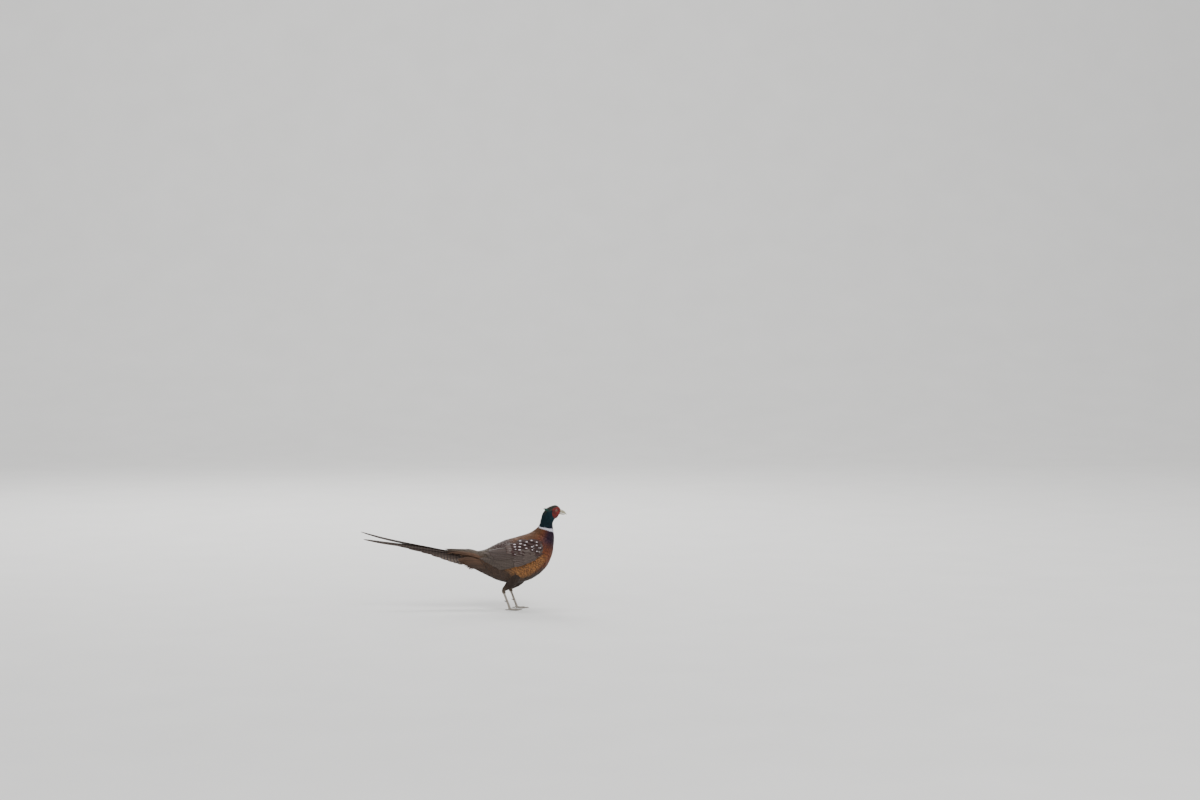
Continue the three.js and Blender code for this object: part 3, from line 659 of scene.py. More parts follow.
# %% [markdown]
# ## The skin
# Under the feathers is one skin, from the bill to the root of the tail, with the feathered legs and the
# arms of the folded wings. It lies as deep as the coat is thick: a millimetre on the face and five on
# the breast. It carries the plumage's ground colours, so any gap between feathers looks like more
# feathers.

# %% The skin
def coat_depth(station):
    """How far the skin lies inside the bird's outline."""
    return mix(mix(1.0, 2.4, smooth(2.6, 4.4, station)), 5.0, smooth(6.0, 8.4, station))


ARM_X, ARM_Z, ARM_LONG, ARM_HIGH, ARM_LEAN, ARM_THICK = 50, 246, 44, 40, 14, 8.5


def arm_lift(a, b, c):
    """The point of the wing's arm from a point a, b, c of a unit ball: forward, out and up."""
    x, z = ARM_X + ARM_LONG * a + ARM_LEAN * c, ARM_Z + ARM_HIGH * c
    return x, z, ARM_THICK * np.where(b > 0, b, 0.2 * b)


def arm_height(x, z):
    """How thick the wing's arm is over x, z of the side view: an upright half ellipse."""
    c = (z - ARM_Z) / ARM_HIGH
    return ARM_THICK * np.sqrt(np.maximum(0, 1 - ((x - ARM_X - ARM_LEAN * c) / ARM_LONG) ** 2 - c * c))


def over_side(x, z, side, lift):
    """The point over the trunk's side at x, z of the side view, lifted along the normal."""
    station, turn = side_place(x, z, side)
    return trunk(station, turn) + normal_of(trunk, station, turn) * np.asarray(lift)[..., None]


def coloured(grid, colour):
    """A grid of points with a colour for each, or one for all."""
    return np.concatenate([grid, np.broadcast_to(colour, grid.shape)], -1)


def skin_grids():
    """The grids of the trunk, the legs and the wings' arms, each with its ground colour."""
    station, turn = net(0.02, LAST, 170, 96, -np.pi)
    ground = trunk_plumage(station, turn)["ground"].reshape(*station.shape, 3)
    yield coloured(trunk(station, turn, -coat_depth(station)), ground)
    for name in FEET:
        station, turn = net(0, 1, 30, 28, -np.pi)
        grow = -np.minimum(3.0, 1.2 + 4 * (1 - station))
        yield coloured(thigh_surface(name)(station, turn, grow), SOOT)
    for side in SIDES.values():
        x, z, lift = arm_lift(*[0.97 * v for v in ball_net(24, 40, -np.pi)])
        yield coloured(over_side(x, z, side, lift), MAUVE)


paint = Paint("skin under feathers")
grain = paint.noise(paint.place(), 420.0, 4.0)
tone = paint.blend(grain, (0.45, 0.45, 0.45), (0.9, 0.9, 0.9))
paint.feed(base_color=paint.blend(1.0, paint.attribute("Ground", "Color"), tone, "MULTIPLY"),
           roughness=grain * 0.2 + 0.6, normal=paint.bump(grain, 0.3, 0.0006))
points, faces = join_grids(skin_grids())
skin = make_mesh("skin", points[:, :3], faces, paint.material, colours={"Ground": points[:, 3:]})
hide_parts("head", "neck", "torso", "rump", "thigh_left", "thigh_right")
print("skin points:", len(points))

# %% [markdown]
# ## The coat
# Small feathers grow in staggered rows, each row's tips lying over the next one's roots. A row is a
# ring of the trunk, and its feathers are spaced evenly by length round the ring. A feather's line is
# worked out on the trunk's own surface, so it bends with the body. Its root is down at the skin and its
# tip at the bird's outline.

# %% Rows of feathers
def rows_on(surface, start, end, along, round_):
    """Roots as stations and turns: rings a gap apart, with each ring's roots a gap apart, staggered and
    jittered."""
    stations, found, station, row = [], [], start, 0
    sweep = np.linspace(-np.pi, np.pi, 121)
    while station < end:
        ring = surface(station + 0 * sweep, sweep)
        length = np.concatenate([[0], np.cumsum(np.linalg.norm(np.diff(ring, axis=0), axis=1))])
        count = max(3, round(length[-1] / round_(station)))
        share = (np.arange(count) + 0.5 * (row % 2) + draws.uniform(-0.16, 0.16, count)) / count
        found.append(np.interp(share % 1.0, length / length[-1], sweep))
        ahead = surface(station + 0.01 + 0 * sweep, sweep)
        speed = np.linalg.norm(ahead - ring, axis=1).mean() / 0.01
        stations.append(station + draws.uniform(-0.14, 0.14, count) * along(station) / speed)
        station += along(station) / speed
        row += 1
    return np.concatenate(stations), np.concatenate(found)


def coat_lines(surface, station, turn, length, depth, rise, rows, sway=0.0):
    """Centre lines and ups of feathers: along the surface from a root below it to a tip at rise above
    it."""
    v = np.linspace(0, 1, rows)[None]
    speed = np.linalg.norm(surface(station + 0.01, turn) - surface(station - 0.01, turn), axis=1) / 0.02
    s = station[:, None] + v * (length / speed)[:, None]
    t = turn[:, None] + v * np.broadcast_to(sway, turn.shape)[:, None]
    grow = -depth[:, None] * (1 - v**0.8) + rise[:, None] * v
    return surface(s, t, grow), normal_of(surface, s, t)


def unwrap(station, turn, last=LAST):
    """The skin's own unwrap: station across and turn up, inside a margin."""
    return np.stack([0.03 + 0.94 * station / last, 0.03 + 0.94 * (turn / (2 * np.pi) % 1.0)], -1)


def coat(name, start, end, gap, length, half, rows, columns=3, keep=None, rise=(-0.5, 0.5), thick=0.35,
         **shape):
    """One piece of the trunk's coat. Gap, length and half are sizes in millimetres as functions of
    station. Rise is the range of the tips' heights over the outline."""
    station, turn = rows_on(trunk, start, end, gap, gap)
    if keep is not None:
        kept = keep(station, turn)
        station, turn = station[kept], turn[kept]
    count = len(station)
    size = 1 + 0.1 * draws.standard_normal(count).clip(-2, 2)
    reach = np.minimum(length(station) * size, (LAST - station) * 33)
    sway = draws.uniform(-0.05, 0.05, count)
    centre, ups = coat_lines(trunk, station, turn, reach, coat_depth(station) - 0.3,
                             draws.uniform(*rise, count), rows, sway)
    made = blades(centre, ups, half(station) * size, thick, columns, **shape)
    baked = atlas_patch(unwrap(station, turn), made[1])
    piece = show_feathers(name, [(made, baked, trunk_plumage(station, turn).vary())], coat_paint)
    print(name, count, "feathers")


def sized(low, high, start=0.0, end=1.0):
    """A size that goes from low at the station start to high at the station end."""
    return lambda station: mix(low, high, smooth(start, end, station))


def off_the_face(station, turn):
    """Keeps the head's feathers off the bare skin round the eye and under the cheek."""
    at = trunk(station, turn)
    x, z = at[:, 0] - EYE_CENTRE[0], at[:, 2] - EYE_CENTRE[1]
    cheek = ((x - 2) / 15.5) ** 2 + ((z + 6) / 16.5) ** 2 < 1
    lobe = (x + 3.5) ** 2 / 70 + (z + 24) ** 2 / 130 < 1
    return ~((cheek | lobe) & (np.abs(at[:, 1]) > 5))


coat("coat_head", 0.3, 3.7, sized(1.5, 2.1, 1, 3.4), sized(4.0, 7.6, 0.6, 3.4), sized(1.1, 1.75, 1, 3.4),
     rows=4, keep=off_the_face, rise=(-1.1, -0.5), thick=0.2, rib=0.08)
coat("coat_neck", 3.7, 6.55, sized(2.1, 2.6, 4, 6.5), sized(8, 10.0, 4, 6.5), sized(1.8, 2.2, 4, 6.5),
     rows=5, thick=0.22, rib=0.08, point=2.0)
coat("coat_shoulders", 6.6, 8.5, sized(3.8, 7.0, 6.6, 8.5), sized(14, 27, 6.6, 8.6),
     sized(3.4, 7.4, 6.6, 8.5), columns=5, rows=7)
coat("coat_body", 8.55, 10.7, sized(8.0, 8.0), sized(27, 33, 8.5, 10), sized(8.6, 8.6), columns=7, rows=7)
coat("coat_flanks", 10.75, 14.2, sized(7.6, 4.8, 11, 13.8), sized(33, 33), sized(8.2, 3.8, 11, 13),
     columns=5, rows=7)


def thigh_coat(name):
    """The legs' short, close feathers, down to the hock."""
    surface = thigh_surface(name)
    station, turn = rows_on(surface, 0.02, 0.93, sized(3.6, 3.6), sized(4.6, 2.4, 0.3, 0.9))
    count = len(station)
    length = np.minimum(mix(15, 7, smooth(0.2, 0.9, station)), (1.0 - station) * 100 + 3)
    rise = draws.uniform(-0.3, 0.4, count)
    centre, ups = coat_lines(surface, station, turn, length, np.full(count, 1.0), rise, 5)
    made = blades(centre, ups, mix(3.6, 1.7, smooth(0.2, 0.9, station)), columns=3, thick=0.25, rib=0.1)
    look = Plumage(count, SOOT, (0.06, 0.03, 0.016), marks=(0.12, 0, 0), gloss=0.05)
    look.lay(smooth(0.35, 0.85, station), ground=(0.085, 0.062, 0.042), fringe=(0.11, 0.082, 0.056)).vary()
    baked = atlas_patch(unwrap(station, turn, 1.0), made[1])
    piece = show_feathers("coat_thigh_" + name, [(made, baked, look)], coat_paint)
    return count


print("thigh feathers:", [thigh_coat(name) for name in FEET])

# %% [markdown]
# ## The folded wings
# A folded wing shows its feathers in tiers. The long primaries lie lowest, the secondaries and tertials
# over them, then the greater, median and lesser coverts, and the scapulars hang over all from the
# shoulder. Each blade leans a little, so its lower edge covers the next one down, as tiles do. The
# tiers here follow the solids' own, with more feathers in each.

# %% The wings' tiers
WING_TIERS = {
    # count, first and last root, first and last tip, half, lifts, then ground, fringe, heart and marks
    "primaries": (8, ((40, 222), (26, 206)), ((-166, 214), (-88, 174)), 8.0, (2.6, 3.0),
     (0.056, 0.041, 0.034), (0.08, 0.06, 0.05), (0.1, 0.076, 0.057), (0.1, 0.4, 0)),
    "secondaries": (9, ((44, 250), (36, 216)), ((-146, 234), (-70, 184)), 9.0, (3.4, 5.2),
     (0.064, 0.047, 0.039), (0.09, 0.067, 0.055), (0.1, 0.075, 0.057), (0.12, 0.3, 0)),
    "tertials": (5, ((32, 264), (38, 246)), ((-132, 243), (-106, 218)), 12.5, (4.4, 8.0),
     (0.056, 0.039, 0.034), (0.095, 0.07, 0.059), (0.08, 0.057, 0.045), (0.2, 0.2, 0)),
    "greater_coverts": (9, ((60, 252), (56, 218)), ((-34, 248), (-24, 188)), 9.5, (5.4, 9.2),
     (0.075, 0.055, 0.048), (0.055, 0.027, 0.021), (0.1, 0.076, 0.066), (0.16, 0.2, 0)),
    "median_coverts": (9, ((72, 252), (67, 224)), ((8, 248), (16, 200)), 8.5, (6.4, 10.4),
     (0.08, 0.059, 0.051), (0.06, 0.03, 0.023), (0.1, 0.08, 0.07), (0.14, 0.1, 0)),
}
SCAPULAR_TIPS = (-58, -35, -12, 11, 34, 56)
TILE = 0.16


def rising(low, high, pace=1.8):
    """A lift from low at the root to high, reached before the tip when pace is over 1."""
    return lambda flat, v: low + (high - low) * smooth(0, 1, np.minimum(1, v * pace)) + 0 * flat[..., 0]


def side_lines(roots, tips, side, lift, rows, bow=0.0):
    """Lines over the trunk's side from roots to tips, (count, 2) points of the side view, at the
    heights that lift gives, which is less near the back. Each bows down by a share of its length. The
    ups lean by the tile's angle."""
    v = np.linspace(0, 1, rows)
    roots, tips = np.asarray(roots, float), np.asarray(tips, float)
    flat = roots[:, None] + (tips - roots)[:, None] * v[:, None]
    flat[..., 1] -= bow * np.linalg.norm(tips - roots, axis=1)[:, None] * np.sin(np.pi * v)
    station, turn = side_place(flat[..., 0], flat[..., 1], side)
    up = normal_of(trunk, station, turn)
    upward = unit(np.array([0, 0, 1.0]) - up * up[..., 2:])
    height = lift(flat, v) * mix(0.3, 1.0, smooth(0.5, 1.15, np.abs(turn)))
    return trunk(station, turn) + up * height[..., None], up + upward * TILE


def strips(start, made, height):
    """Large blades get a strip each of the piece's own map, from start upwards, so that their bars are
    kept."""
    vane = made[1]
    rows = (start + np.arange(len(vane))) * height
    up = rows[:, None] + 0.002 + (height - 0.004) * vane[..., 0]
    return np.stack([0.01 + 0.98 * vane[..., 1], up], -1)


def fan_out(ends, count):
    """Count points from the first end to the last."""
    return np.linspace(ends[0], ends[1], count).astype(float)


def flight_feathers(name, side):
    """The wing's long feathers and larger coverts: barred blades, tier by tier."""
    parts, start = [], 0
    for count, roots, tips, half, lifts, ground, fringe, heart, marks in WING_TIERS.values():
        tip = fan_out(tips, count)
        tip[:, 0] += 3 * np.sin(np.arange(count) * 2.3)
        centre, ups = side_lines(fan_out(roots, count), tip, side, rising(*lifts), 22, bow=0.02)
        halves = np.full(count, half)
        made = blades(centre, ups, halves, thick=0.6, columns=7, cup=0.05, point=3.2, tip=0.12)
        length = np.linalg.norm(np.diff(centre, axis=1), axis=2).sum(1)
        look = Plumage(count, ground, fringe, heart, marks)
        look["bars"] = (length / 11.0)[:, None]
        parts.append((made, strips(start, made, 1 / 42), look.vary(0.06)))
        start += count
    piece = show_feathers("wing_flight_" + name, parts, barred_paint, "wing_" + name)
    return start


def scapulars(side):
    """Short broad feathers in staggered columns over the shoulder, many with a pale spot."""
    parts = []
    for row, x in enumerate(SCAPULAR_TIPS):
        top = mix(268, 284, smooth(-62, 0, x))
        tips = np.stack([x + draws.uniform(-6, 6, 5), np.linspace(top, 239, 5) - 5.5 * (row % 2)], -1)
        lift = rising(mix(4.0, -1.0, smooth(0, 60, x)), 10.8 + 0.12 * row, pace=1.0)
        centre, ups = side_lines(tips + [48 - 0.2 * x, 4], tips, side, lift, 12)
        made = blades(centre, ups, draws.uniform(8.0, 9.4, 5), thick=0.5, columns=7, cup=0.07)
        look = Plumage(5, MAROON, WINE, SPOT, (0.07, 0.5, 0.95), gloss=0.05, bars=2.7)
        look.lay(draws.random(5) < 0.3, marks=(0.07, 0.5, 0.0))
        look.lay(1 - smooth(-62, -40, x), ground=MAUVE, marks=(0.1, 0.1, 0.0)).vary()
        place = np.stack([0.03 + 0.03 * np.arange(5), np.full(5, 0.04 + 0.05 * row)], -1)
        baked = atlas_patch(place, made[1], 0.02)
        parts.append((made, baked, look))
    return parts


def lesser_coverts(side):
    """Rows of small feathers over the wing's arm, each lying on the arm and over the next."""
    a, c = np.meshgrid(np.linspace(-0.75, 0.97, 13), np.linspace(-0.95, 0.95, 11), indexing="ij")
    a = (a + 0.07 * (np.arange(11) % 2)).ravel() + draws.uniform(-0.02, 0.02, a.size)
    c = c.ravel() + draws.uniform(-0.02, 0.02, a.size)
    inside = a * a + c * c < 0.97
    a, c = a[inside], c[inside]
    x, z, _ = arm_lift(a, 0 * a, c)
    length = mix(21, 17, smooth(0, 0.9, a))
    at_root = arm_height(x, z)[:, None]

    def lift(flat, v):
        """The arm's height under the feather or at its root, less at the root and more at the tip."""
        height = np.maximum(arm_height(flat[..., 0], flat[..., 1]), at_root + 0.6)
        return np.minimum(10.2, height + mix(-1.3, 1.0, v))

    tips = np.stack([x - length, z - 0.22 * length], -1)
    centre, ups = side_lines(np.stack([x, z], -1), tips, side, lift, 8)
    made = blades(centre, ups, np.full(len(a), 7.2), thick=0.4, columns=5, cup=0.08)
    look = Plumage(len(a), COVERT, (0.062, 0.031, 0.024), (0.11, 0.085, 0.075), (0.12, 0.05, 0.3))
    look.lay(smooth(-0.15, 0.35, c), ground=MAROON, fringe=WINE, heart=SPOT, marks=(0.08, 0.4, 0), bars=2.3)
    look.lay((c > 0) & (draws.random(len(a)) < 0.35), marks=(0.08, 0.4, 0.9)).vary()
    place = np.stack([0.05 + 0.9 * (a + 1) / 2, 0.52 + 0.46 * (c + 1) / 2], -1)
    return [(made, atlas_patch(place, made[1]), look)]


for name, side in SIDES.items():
    count = flight_feathers(name, side)
    covers = show_feathers("wing_coverts_" + name, scapulars(side) + lesser_coverts(side), coat_paint)
    print("wing", name, count, "large feathers,", len(covers.data.vertices), "points of small ones")

# %% [markdown]
# ## The tail
# Eighteen feathers make the tail. The middle pair is by far the longest, and each further pair is
# shorter, lower and turned more on its edge, like tiles on a steep roof. The bars sit a fixed distance
# apart, so a longer feather has more of them.

# %% The tail feathers
TAIL_TOP = ((-190, 236), (-250, 241), (-289, 245.5), (-357, 259), (-480, 282), (-570, 302), (-652, 325))
TAIL_ROOT_X = -219.0
TAIL_TIPS = (-651.8, -505, -455, -405, -362, -326, -298, -275, -256)
TAIL_DROPS = (0, 20, 23, 26, 31, 35, 38, 41, 44)
MIDDLE_TAIL, MIDDLE_EDGE, TAIL_BAR = (0.064, 0.048, 0.039), (0.056, 0.037, 0.033), (0.012, 0.008, 0.007)
OUTER_TAIL, OUTER_EDGE = (0.08, 0.056, 0.042), (0.07, 0.042, 0.033)


def tail_top(x):
    """The height of the tail's upper line, read off its spline."""
    line = spline(TAIL_TOP, np.linspace(0, 1, 400))
    return np.interp(-np.asarray(x, float), -line[:, 0], line[:, 1])


def tail_line(pair, side, rows):
    """One tail feather's line, as the solids draw it, with its ups."""
    low = pair == 0 and side < 0
    tip_x, tip_drop = (-640, 30) if low else (TAIL_TIPS[pair], TAIL_DROPS[pair])
    u = np.linspace(0, 1, rows)
    x = TAIL_ROOT_X + (tip_x - TAIL_ROOT_X) * u
    root_drop = 5 + 4 * pair
    goal = tip_drop + (1.5 * side if pair == 0 else 0)
    drop = root_drop + (goal - root_drop) * u ** (2 if pair == 0 else 0.7)
    out = (1.6 + 1.45 * pair) + (3.5 + 4.4 * pair - 1.6 - 1.45 * pair) * np.sin(u * np.pi / 2)
    roll = 0.28 + 0.87 * pair / 8 + (0.4 * u if pair == 0 else 0 * u)
    up = np.stack([0 * u, side * np.sin(roll), np.cos(roll)], -1)
    return np.stack([x, side * out, tail_top(x) - drop], -1), up


tail_parts, start = [], 0
for pair in range(9):
    for side in SIDES.values():
        line, up = tail_line(pair, side, 44)
        half = 11.5 - 1.5 * pair / 8
        belly = 0.25 if pair == 0 else 0.4
        made = blades(line[None], up[None], [half], thick=0.7, columns=9, cup=0.06, belly=belly, tip=0.1,
                      root=0.55, rib=0.5)
        look = Plumage(1, MIDDLE_TAIL, MIDDLE_EDGE, TAIL_BAR, (0.3, 0.7, 0))
        outer = np.array([min(1, pair / 5)])
        look.lay(outer, ground=OUTER_TAIL, fringe=OUTER_EDGE, marks=(0.15, 1, 0))
        look["bars"] = np.array([[np.linalg.norm(np.diff(line, axis=0), axis=1).sum() / 12.5]])
        tail_parts.append((made, strips(start, made, 1 / 19), look.vary(0.05)))
        start += 1
tail = show_feathers("tail_feathers", tail_parts, barred_paint, "tail")
print("tail feathers:", start)

# %% [markdown]
# ## Rump plumes
# Over the root of the tail lie loose, narrow feathers, olive brown in the middle and rusty at the
# sides. Each follows a curve from its root over the rump to its tip above the tail, so it bridges the
# step between body and tail.

# %% The tail coverts and the side plumes
def curve(root, middle, tip, rows):
    """A quadratic curve: the square of the share left times root, twice the product times middle, and
    its square times tip."""
    u = np.linspace(0, 1, rows)[None, :, None]
    return (1 - u) ** 2 * root[:, None] + 2 * u * (1 - u) * middle[:, None] + u**2 * tip[:, None]


def curved_blades(station, turn, crest, goal, half, look, **shape):
    """Blades on curves from roots under the trunk's coat, by a crest to a goal, with their maps and
    their look."""
    line = curve(trunk(station, turn, -3.0), crest, goal, 12)
    ups = np.broadcast_to(normal_of(trunk, station, turn)[:, None], line.shape)
    made = blades(line, ups, half, columns=5, **shape)
    return made, atlas_patch(unwrap(station, turn), made[1]), look


def covert_row(station, count, spread, tip_x, over):
    """One row of upper tail coverts, from the middle out to both sides."""
    share = np.linspace(-1, 1, count) + draws.uniform(-0.03, 0.03, count)
    turn, at = share * spread, np.full(count, station)
    rise = over + 1.3 * (np.arange(count) % 2)
    reach = tip_x + 16 * np.abs(share) + draws.uniform(-5, 9, count)
    goal = np.stack([reach, share * 17, tail_top(reach) + rise - 2 - 16 * share**2], -1)
    crest = trunk(np.minimum(at + 1.1, LAST - 0.02), turn * 0.95, rise + 3.0)
    look = Plumage(count, MOSS, MOSS_EDGE, SOOT, (0.1, 0.15, 0.25), gloss=0.05)
    look.lay(smooth(0.55, 0.95, np.abs(share)), ground=RUST, fringe=RUST_EDGE).vary()
    half = np.full(count, 5.0)
    return curved_blades(at, turn, crest, goal, half, look, thick=0.4, cup=0.12, point=1.7, tip=0.08)


def plume_row(side, count, station, start_turn):
    """The rusty plumes at one side of the rump."""
    u = np.linspace(0, 1, count)
    turn, at = side * (start_turn + 0.65 * u), np.full(count, station)
    x, z = mix(-258, -206, u) + draws.uniform(-6, 8, count), mix(212, 168, u)
    goal = np.stack([x, side * mix(43, 31, u), z], -1)
    half = draws.uniform(2.2, 3.2, count)
    look = Plumage(count, RUST, RUST_EDGE, SOOT, (0.12, 0, 0.2))
    look.lay(u, ground=UMBER, fringe=(0.07, 0.035, 0.018)).vary()
    crest = trunk(at + 1.0, turn, 8.0)
    return curved_blades(at, turn, crest, goal, half, look, thick=0.35, cup=0.15, point=1.4, tip=0.05)


plumes = [covert_row(13.6, 9, 0.65, -316, 4.5), covert_row(13.2, 13, 0.85, -292, 6.0),
          covert_row(12.8, 16, 1.0, -264, 8.0), covert_row(12.4, 18, 1.1, -232, 9.5)]
for side in SIDES.values():
    plumes += [plume_row(side, 15, 12.5, 1.25), plume_row(side, 15, 12.9, 1.2)]
rump_plumes = show_feathers("rump_plumes", plumes, coat_paint)
print("rump plumes:", len(rump_plumes.data.vertices), "points")

# %% [markdown]
# ## The bill
# The upper half curves down over the lower one and has a soft flap over each nostril. Each half is a
# tube between two lines of the side view. The nostril is pressed in and the flap swells above it, both
# as soft bumps in the shape.

# %% The bill
CHEEK = 0.8


def wedge(upper, lower, halves, rows, around):
    """Rings between the upper and lower line. The side is the half width by the sine's power, so the
    cheeks are full."""
    u = np.linspace(0, 1, rows)
    top, bottom = spline(upper, u), spline(lower, u)
    wide = spline(np.array(halves)[:, None], u)
    turn = np.linspace(0, 2 * np.pi, around, endpoint=False)[None]
    rise = (np.cos(turn) + 1) / 2
    out = np.sign(np.sin(turn)) * np.abs(np.sin(turn)) ** CHEEK * wide
    x = bottom[:, :1] + (top[:, :1] - bottom[:, :1]) * rise
    z = bottom[:, 1:] + (top[:, 1:] - bottom[:, 1:]) * rise
    return np.stack([x, out, z], -1)


def press(grid, x, z, long, high, depth):
    """Moves the sides in by depth at x, z, fading as a bell over long and high."""
    bell = np.exp(-(((grid[..., 0] - x) / long) ** 2) - ((grid[..., 2] - z) / high) ** 2)
    grid[..., 1] -= np.sign(grid[..., 1]) * np.minimum(depth * bell, np.abs(grid[..., 1]))
    return grid


HORN, PALE_HORN = (0.3, 0.27, 0.185), (0.44, 0.41, 0.3)
LOW_HORN, BASE_HORN = (0.22, 0.19, 0.13), (0.2, 0.18, 0.13)
NOSTRIL, FLAP = (176.8, 401.6, 2.5, 0.9, 1.5), (175.5, 404.4, 4.2, 1.7, -0.8)
CULMEN = (168, 412.2), (178, 408.5), (186, 402.5), (192, 395), (193.5, 390)
UPPER_EDGE = (161, 399.4), (172, 397), (181, 394.6), (188, 392.4), (192.9, 389.6)
LOWER_EDGE = (159, 398.2), (170, 396.2), (180, 393.4), (188, 391.1)
CHIN = (159, 392.3), (170, 390.6), (180, 389.4), (188, 390.1)
upper = wedge(CULMEN, UPPER_EDGE, [7.4, 6.2, 4.8, 2.8, 0.5], 64, 48)
upper = press(press(upper, *NOSTRIL), *FLAP)
lower = wedge(LOWER_EDGE, CHIN, [6.2, 5.2, 3.6, 0.7], 48, 36)
paint = Paint("horn of the bill", roughness=0.34, coat_weight=0.15, coat_roughness=0.3)
x, y, z = paint.parts(paint.place())
along_bill = paint.node("Mapping", {}, {"Vector": paint.place(), "Scale": (1.0, 3.0, 3.0)})
grain = paint.noise(along_bill, 300.0, 4.0)
tip = x.ramp(0.412, 0.425)
colour = paint.blend(tip, HORN, PALE_HORN)
colour = paint.blend((1 - z.ramp(0.390, 0.396)) * 0.55, colour, LOW_HORN)
colour = paint.blend((1 - x.ramp(0.392, 0.403)) * 0.6, colour, BASE_HORN)
colour = paint.blend(grain.ramp(0.5, 0.8) * 0.35, colour, (0.3, 0.27, 0.18))
paint.feed(base_color=colour, normal=paint.bump(grain, 0.15, 0.0004))
for half, grid in (("upper", upper), ("lower", lower)):
    piece = make_mesh("bill_horn_" + half, *join_grids([grid]), paint.material)
    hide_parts("bill_" + half)
print("bill length in mm:", round(float(np.ptp(upper[..., 0])), 1))

# %% [markdown]
# ## The eyes and their lids
# Each eye is a ball with a low swell over the pupil. Its paint rings the axis that runs out of the
# head: a black pupil, an amber iris and a dark rim, under a wet clear coat. Two folds of lid lie round
# it, a thin one and a broader one, both in one paint of dark and red patches.

# %% The eyes
def eye_middle(name):
    """The middle of the CAD eye, in millimetres of the side view."""
    low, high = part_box("eye_" + name)
    return np.array([(a + b) * 500 for a, b in zip(low, high)]) - [SHIFT, 0, 0]


def ring_round(name, side, across, high, thick, lift):
    """A closed fold round the eye, lying on the ball: an ellipse with slightly drawn corners, as a ring
    of rings."""
    x0, y0, z0 = eye_middle(name)
    turn = np.linspace(0, 2 * np.pi, 72, endpoint=False)
    pull = 1 + 0.1 * np.abs(np.cos(turn)) ** 6
    x, z = across * np.cos(turn) * pull, high * np.sin(turn)
    y = np.sqrt(np.maximum(0.2, EYE_RADIUS**2 - np.minimum(x * x + z * z, 27.0))) + lift
    middle = np.stack([x0 + x, y0 + side * y, z0 + z], -1)
    out = unit(np.stack([x, 0 * x, z], -1))
    face = np.array([0, side, 0.0])
    round_ = np.linspace(0, 2 * np.pi, 14, endpoint=False)[None, :, None]
    wrinkle = 1 + 0.1 * np.sin(turn * 17)[:, None, None]
    section = out[:, None] * np.cos(round_) * 1.25 + face * np.sin(round_)
    return middle[:, None] + section * thick * wrinkle


def ring_mesh(name, rings, material):
    """A ring of rings closed both ways."""
    rows, around = rings.shape[:2]
    j, k = np.meshgrid(np.arange(rows), np.arange(around), indexing="ij")
    a, b = j * around + k, j * around + (k + 1) % around
    c, d = (j + 1) % rows * around + (k + 1) % around, (j + 1) % rows * around + k
    quads = np.stack([a, b, c, d], -1).reshape(-1, 4)
    points = rings.reshape(-1, 3)
    middle = rings.mean(1, keepdims=True)
    flow = np.cross(rings[:, 1] - rings[:, 0], np.roll(rings, -1, 0)[:, 0] - rings[:, 0])
    if ((rings - middle)[:, 0] * flow).sum() < 0:
        quads = quads[:, ::-1]
    return make_mesh(name, points, (quads, np.zeros((0, 3), int)), material)


eye_paint = Paint("eye", roughness=0.12, coat_weight=1.0, coat_roughness=0.03)
x, y, z = eye_paint.parts(eye_paint.place())
eye_x, eye_z = (eye_middle("left")[0] + SHIFT) / 1000, eye_middle("left")[2] / 1000
reach = ((x - eye_x) ** 2.0 + (z - eye_z) ** 2.0) ** 0.5
streaks = eye_paint.noise(eye_paint.place(), 1400.0, 3.0)
iris = eye_paint.blend(streaks, (0.14, 0.045, 0.01), (0.24, 0.1, 0.025))
colour = eye_paint.blend((reach + streaks * 0.0002).ramp(0.0020, 0.0023), (0.002, 0.002, 0.002), iris)
colour = eye_paint.blend(reach.ramp(0.0036, 0.0042), colour, (0.03, 0.012, 0.006))
eye_paint.feed(base_color=colour)
lid_paint = Paint("lids", roughness=0.5)
crease = lid_paint.noise(lid_paint.place(), 900.0, 3.0)
lid_paint.feed(base_color=lid_paint.blend(crease, (0.03, 0.008, 0.007), (0.12, 0.016, 0.013)),
               normal=lid_paint.bump(crease, 0.4, 0.0004))
LIDS = (("lid_inner_", 4.35, 3.7, 0.5, 0.15), ("lid_outer_", 5.0, 4.6, 0.75, -0.1))
for name, side in SIDES.items():
    ahead, up, out = ball_net(40, 56)
    ball = np.stack([ahead, side * out, up], -1)
    swell = 1 + 0.05 * np.exp(-(np.linalg.norm(ball - [0, side, 0], axis=-1) / 0.55) ** 2)
    grid = eye_middle(name) + ball * (EYE_RADIUS * swell)[..., None]
    eye = make_mesh("eye_ball_" + name, *join_grids([grid]), eye_paint.material)
    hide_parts("eye_" + name)
    for title, across, high, thick, lift in LIDS:
        rings = ring_round(name, side, across, high, thick, lift)
        lid = ring_mesh(title + name, rings, lid_paint.material)
print("eye middle in mm:", eye_middle("left").round(1))

# %% [markdown]
# ## The bare red face
# The red skin runs from the bill round the eye and hangs below the cheek as a lobe. It is covered with
# small bulbs. It is worked out in turns and reaches round the eye: its outline is a curve of reaches,
# its height swells between its inner and outer edge, and each bulb adds a small bell.

# %% The wattles
WATTLE_REACH = (18, 18, 16.5, 15, 14.5, 16, 16, 18.5, 27, 34, 24, 19)
RED, DARK_RED, SHADED_RED = (0.26, 0.013, 0.008), (0.07, 0.004, 0.0035), (0.035, 0.004, 0.004)
LOBE, BULBS, BULB_HEIGHT, BULB_SPREAD = (147, 383), 520, 0.34, 0.62


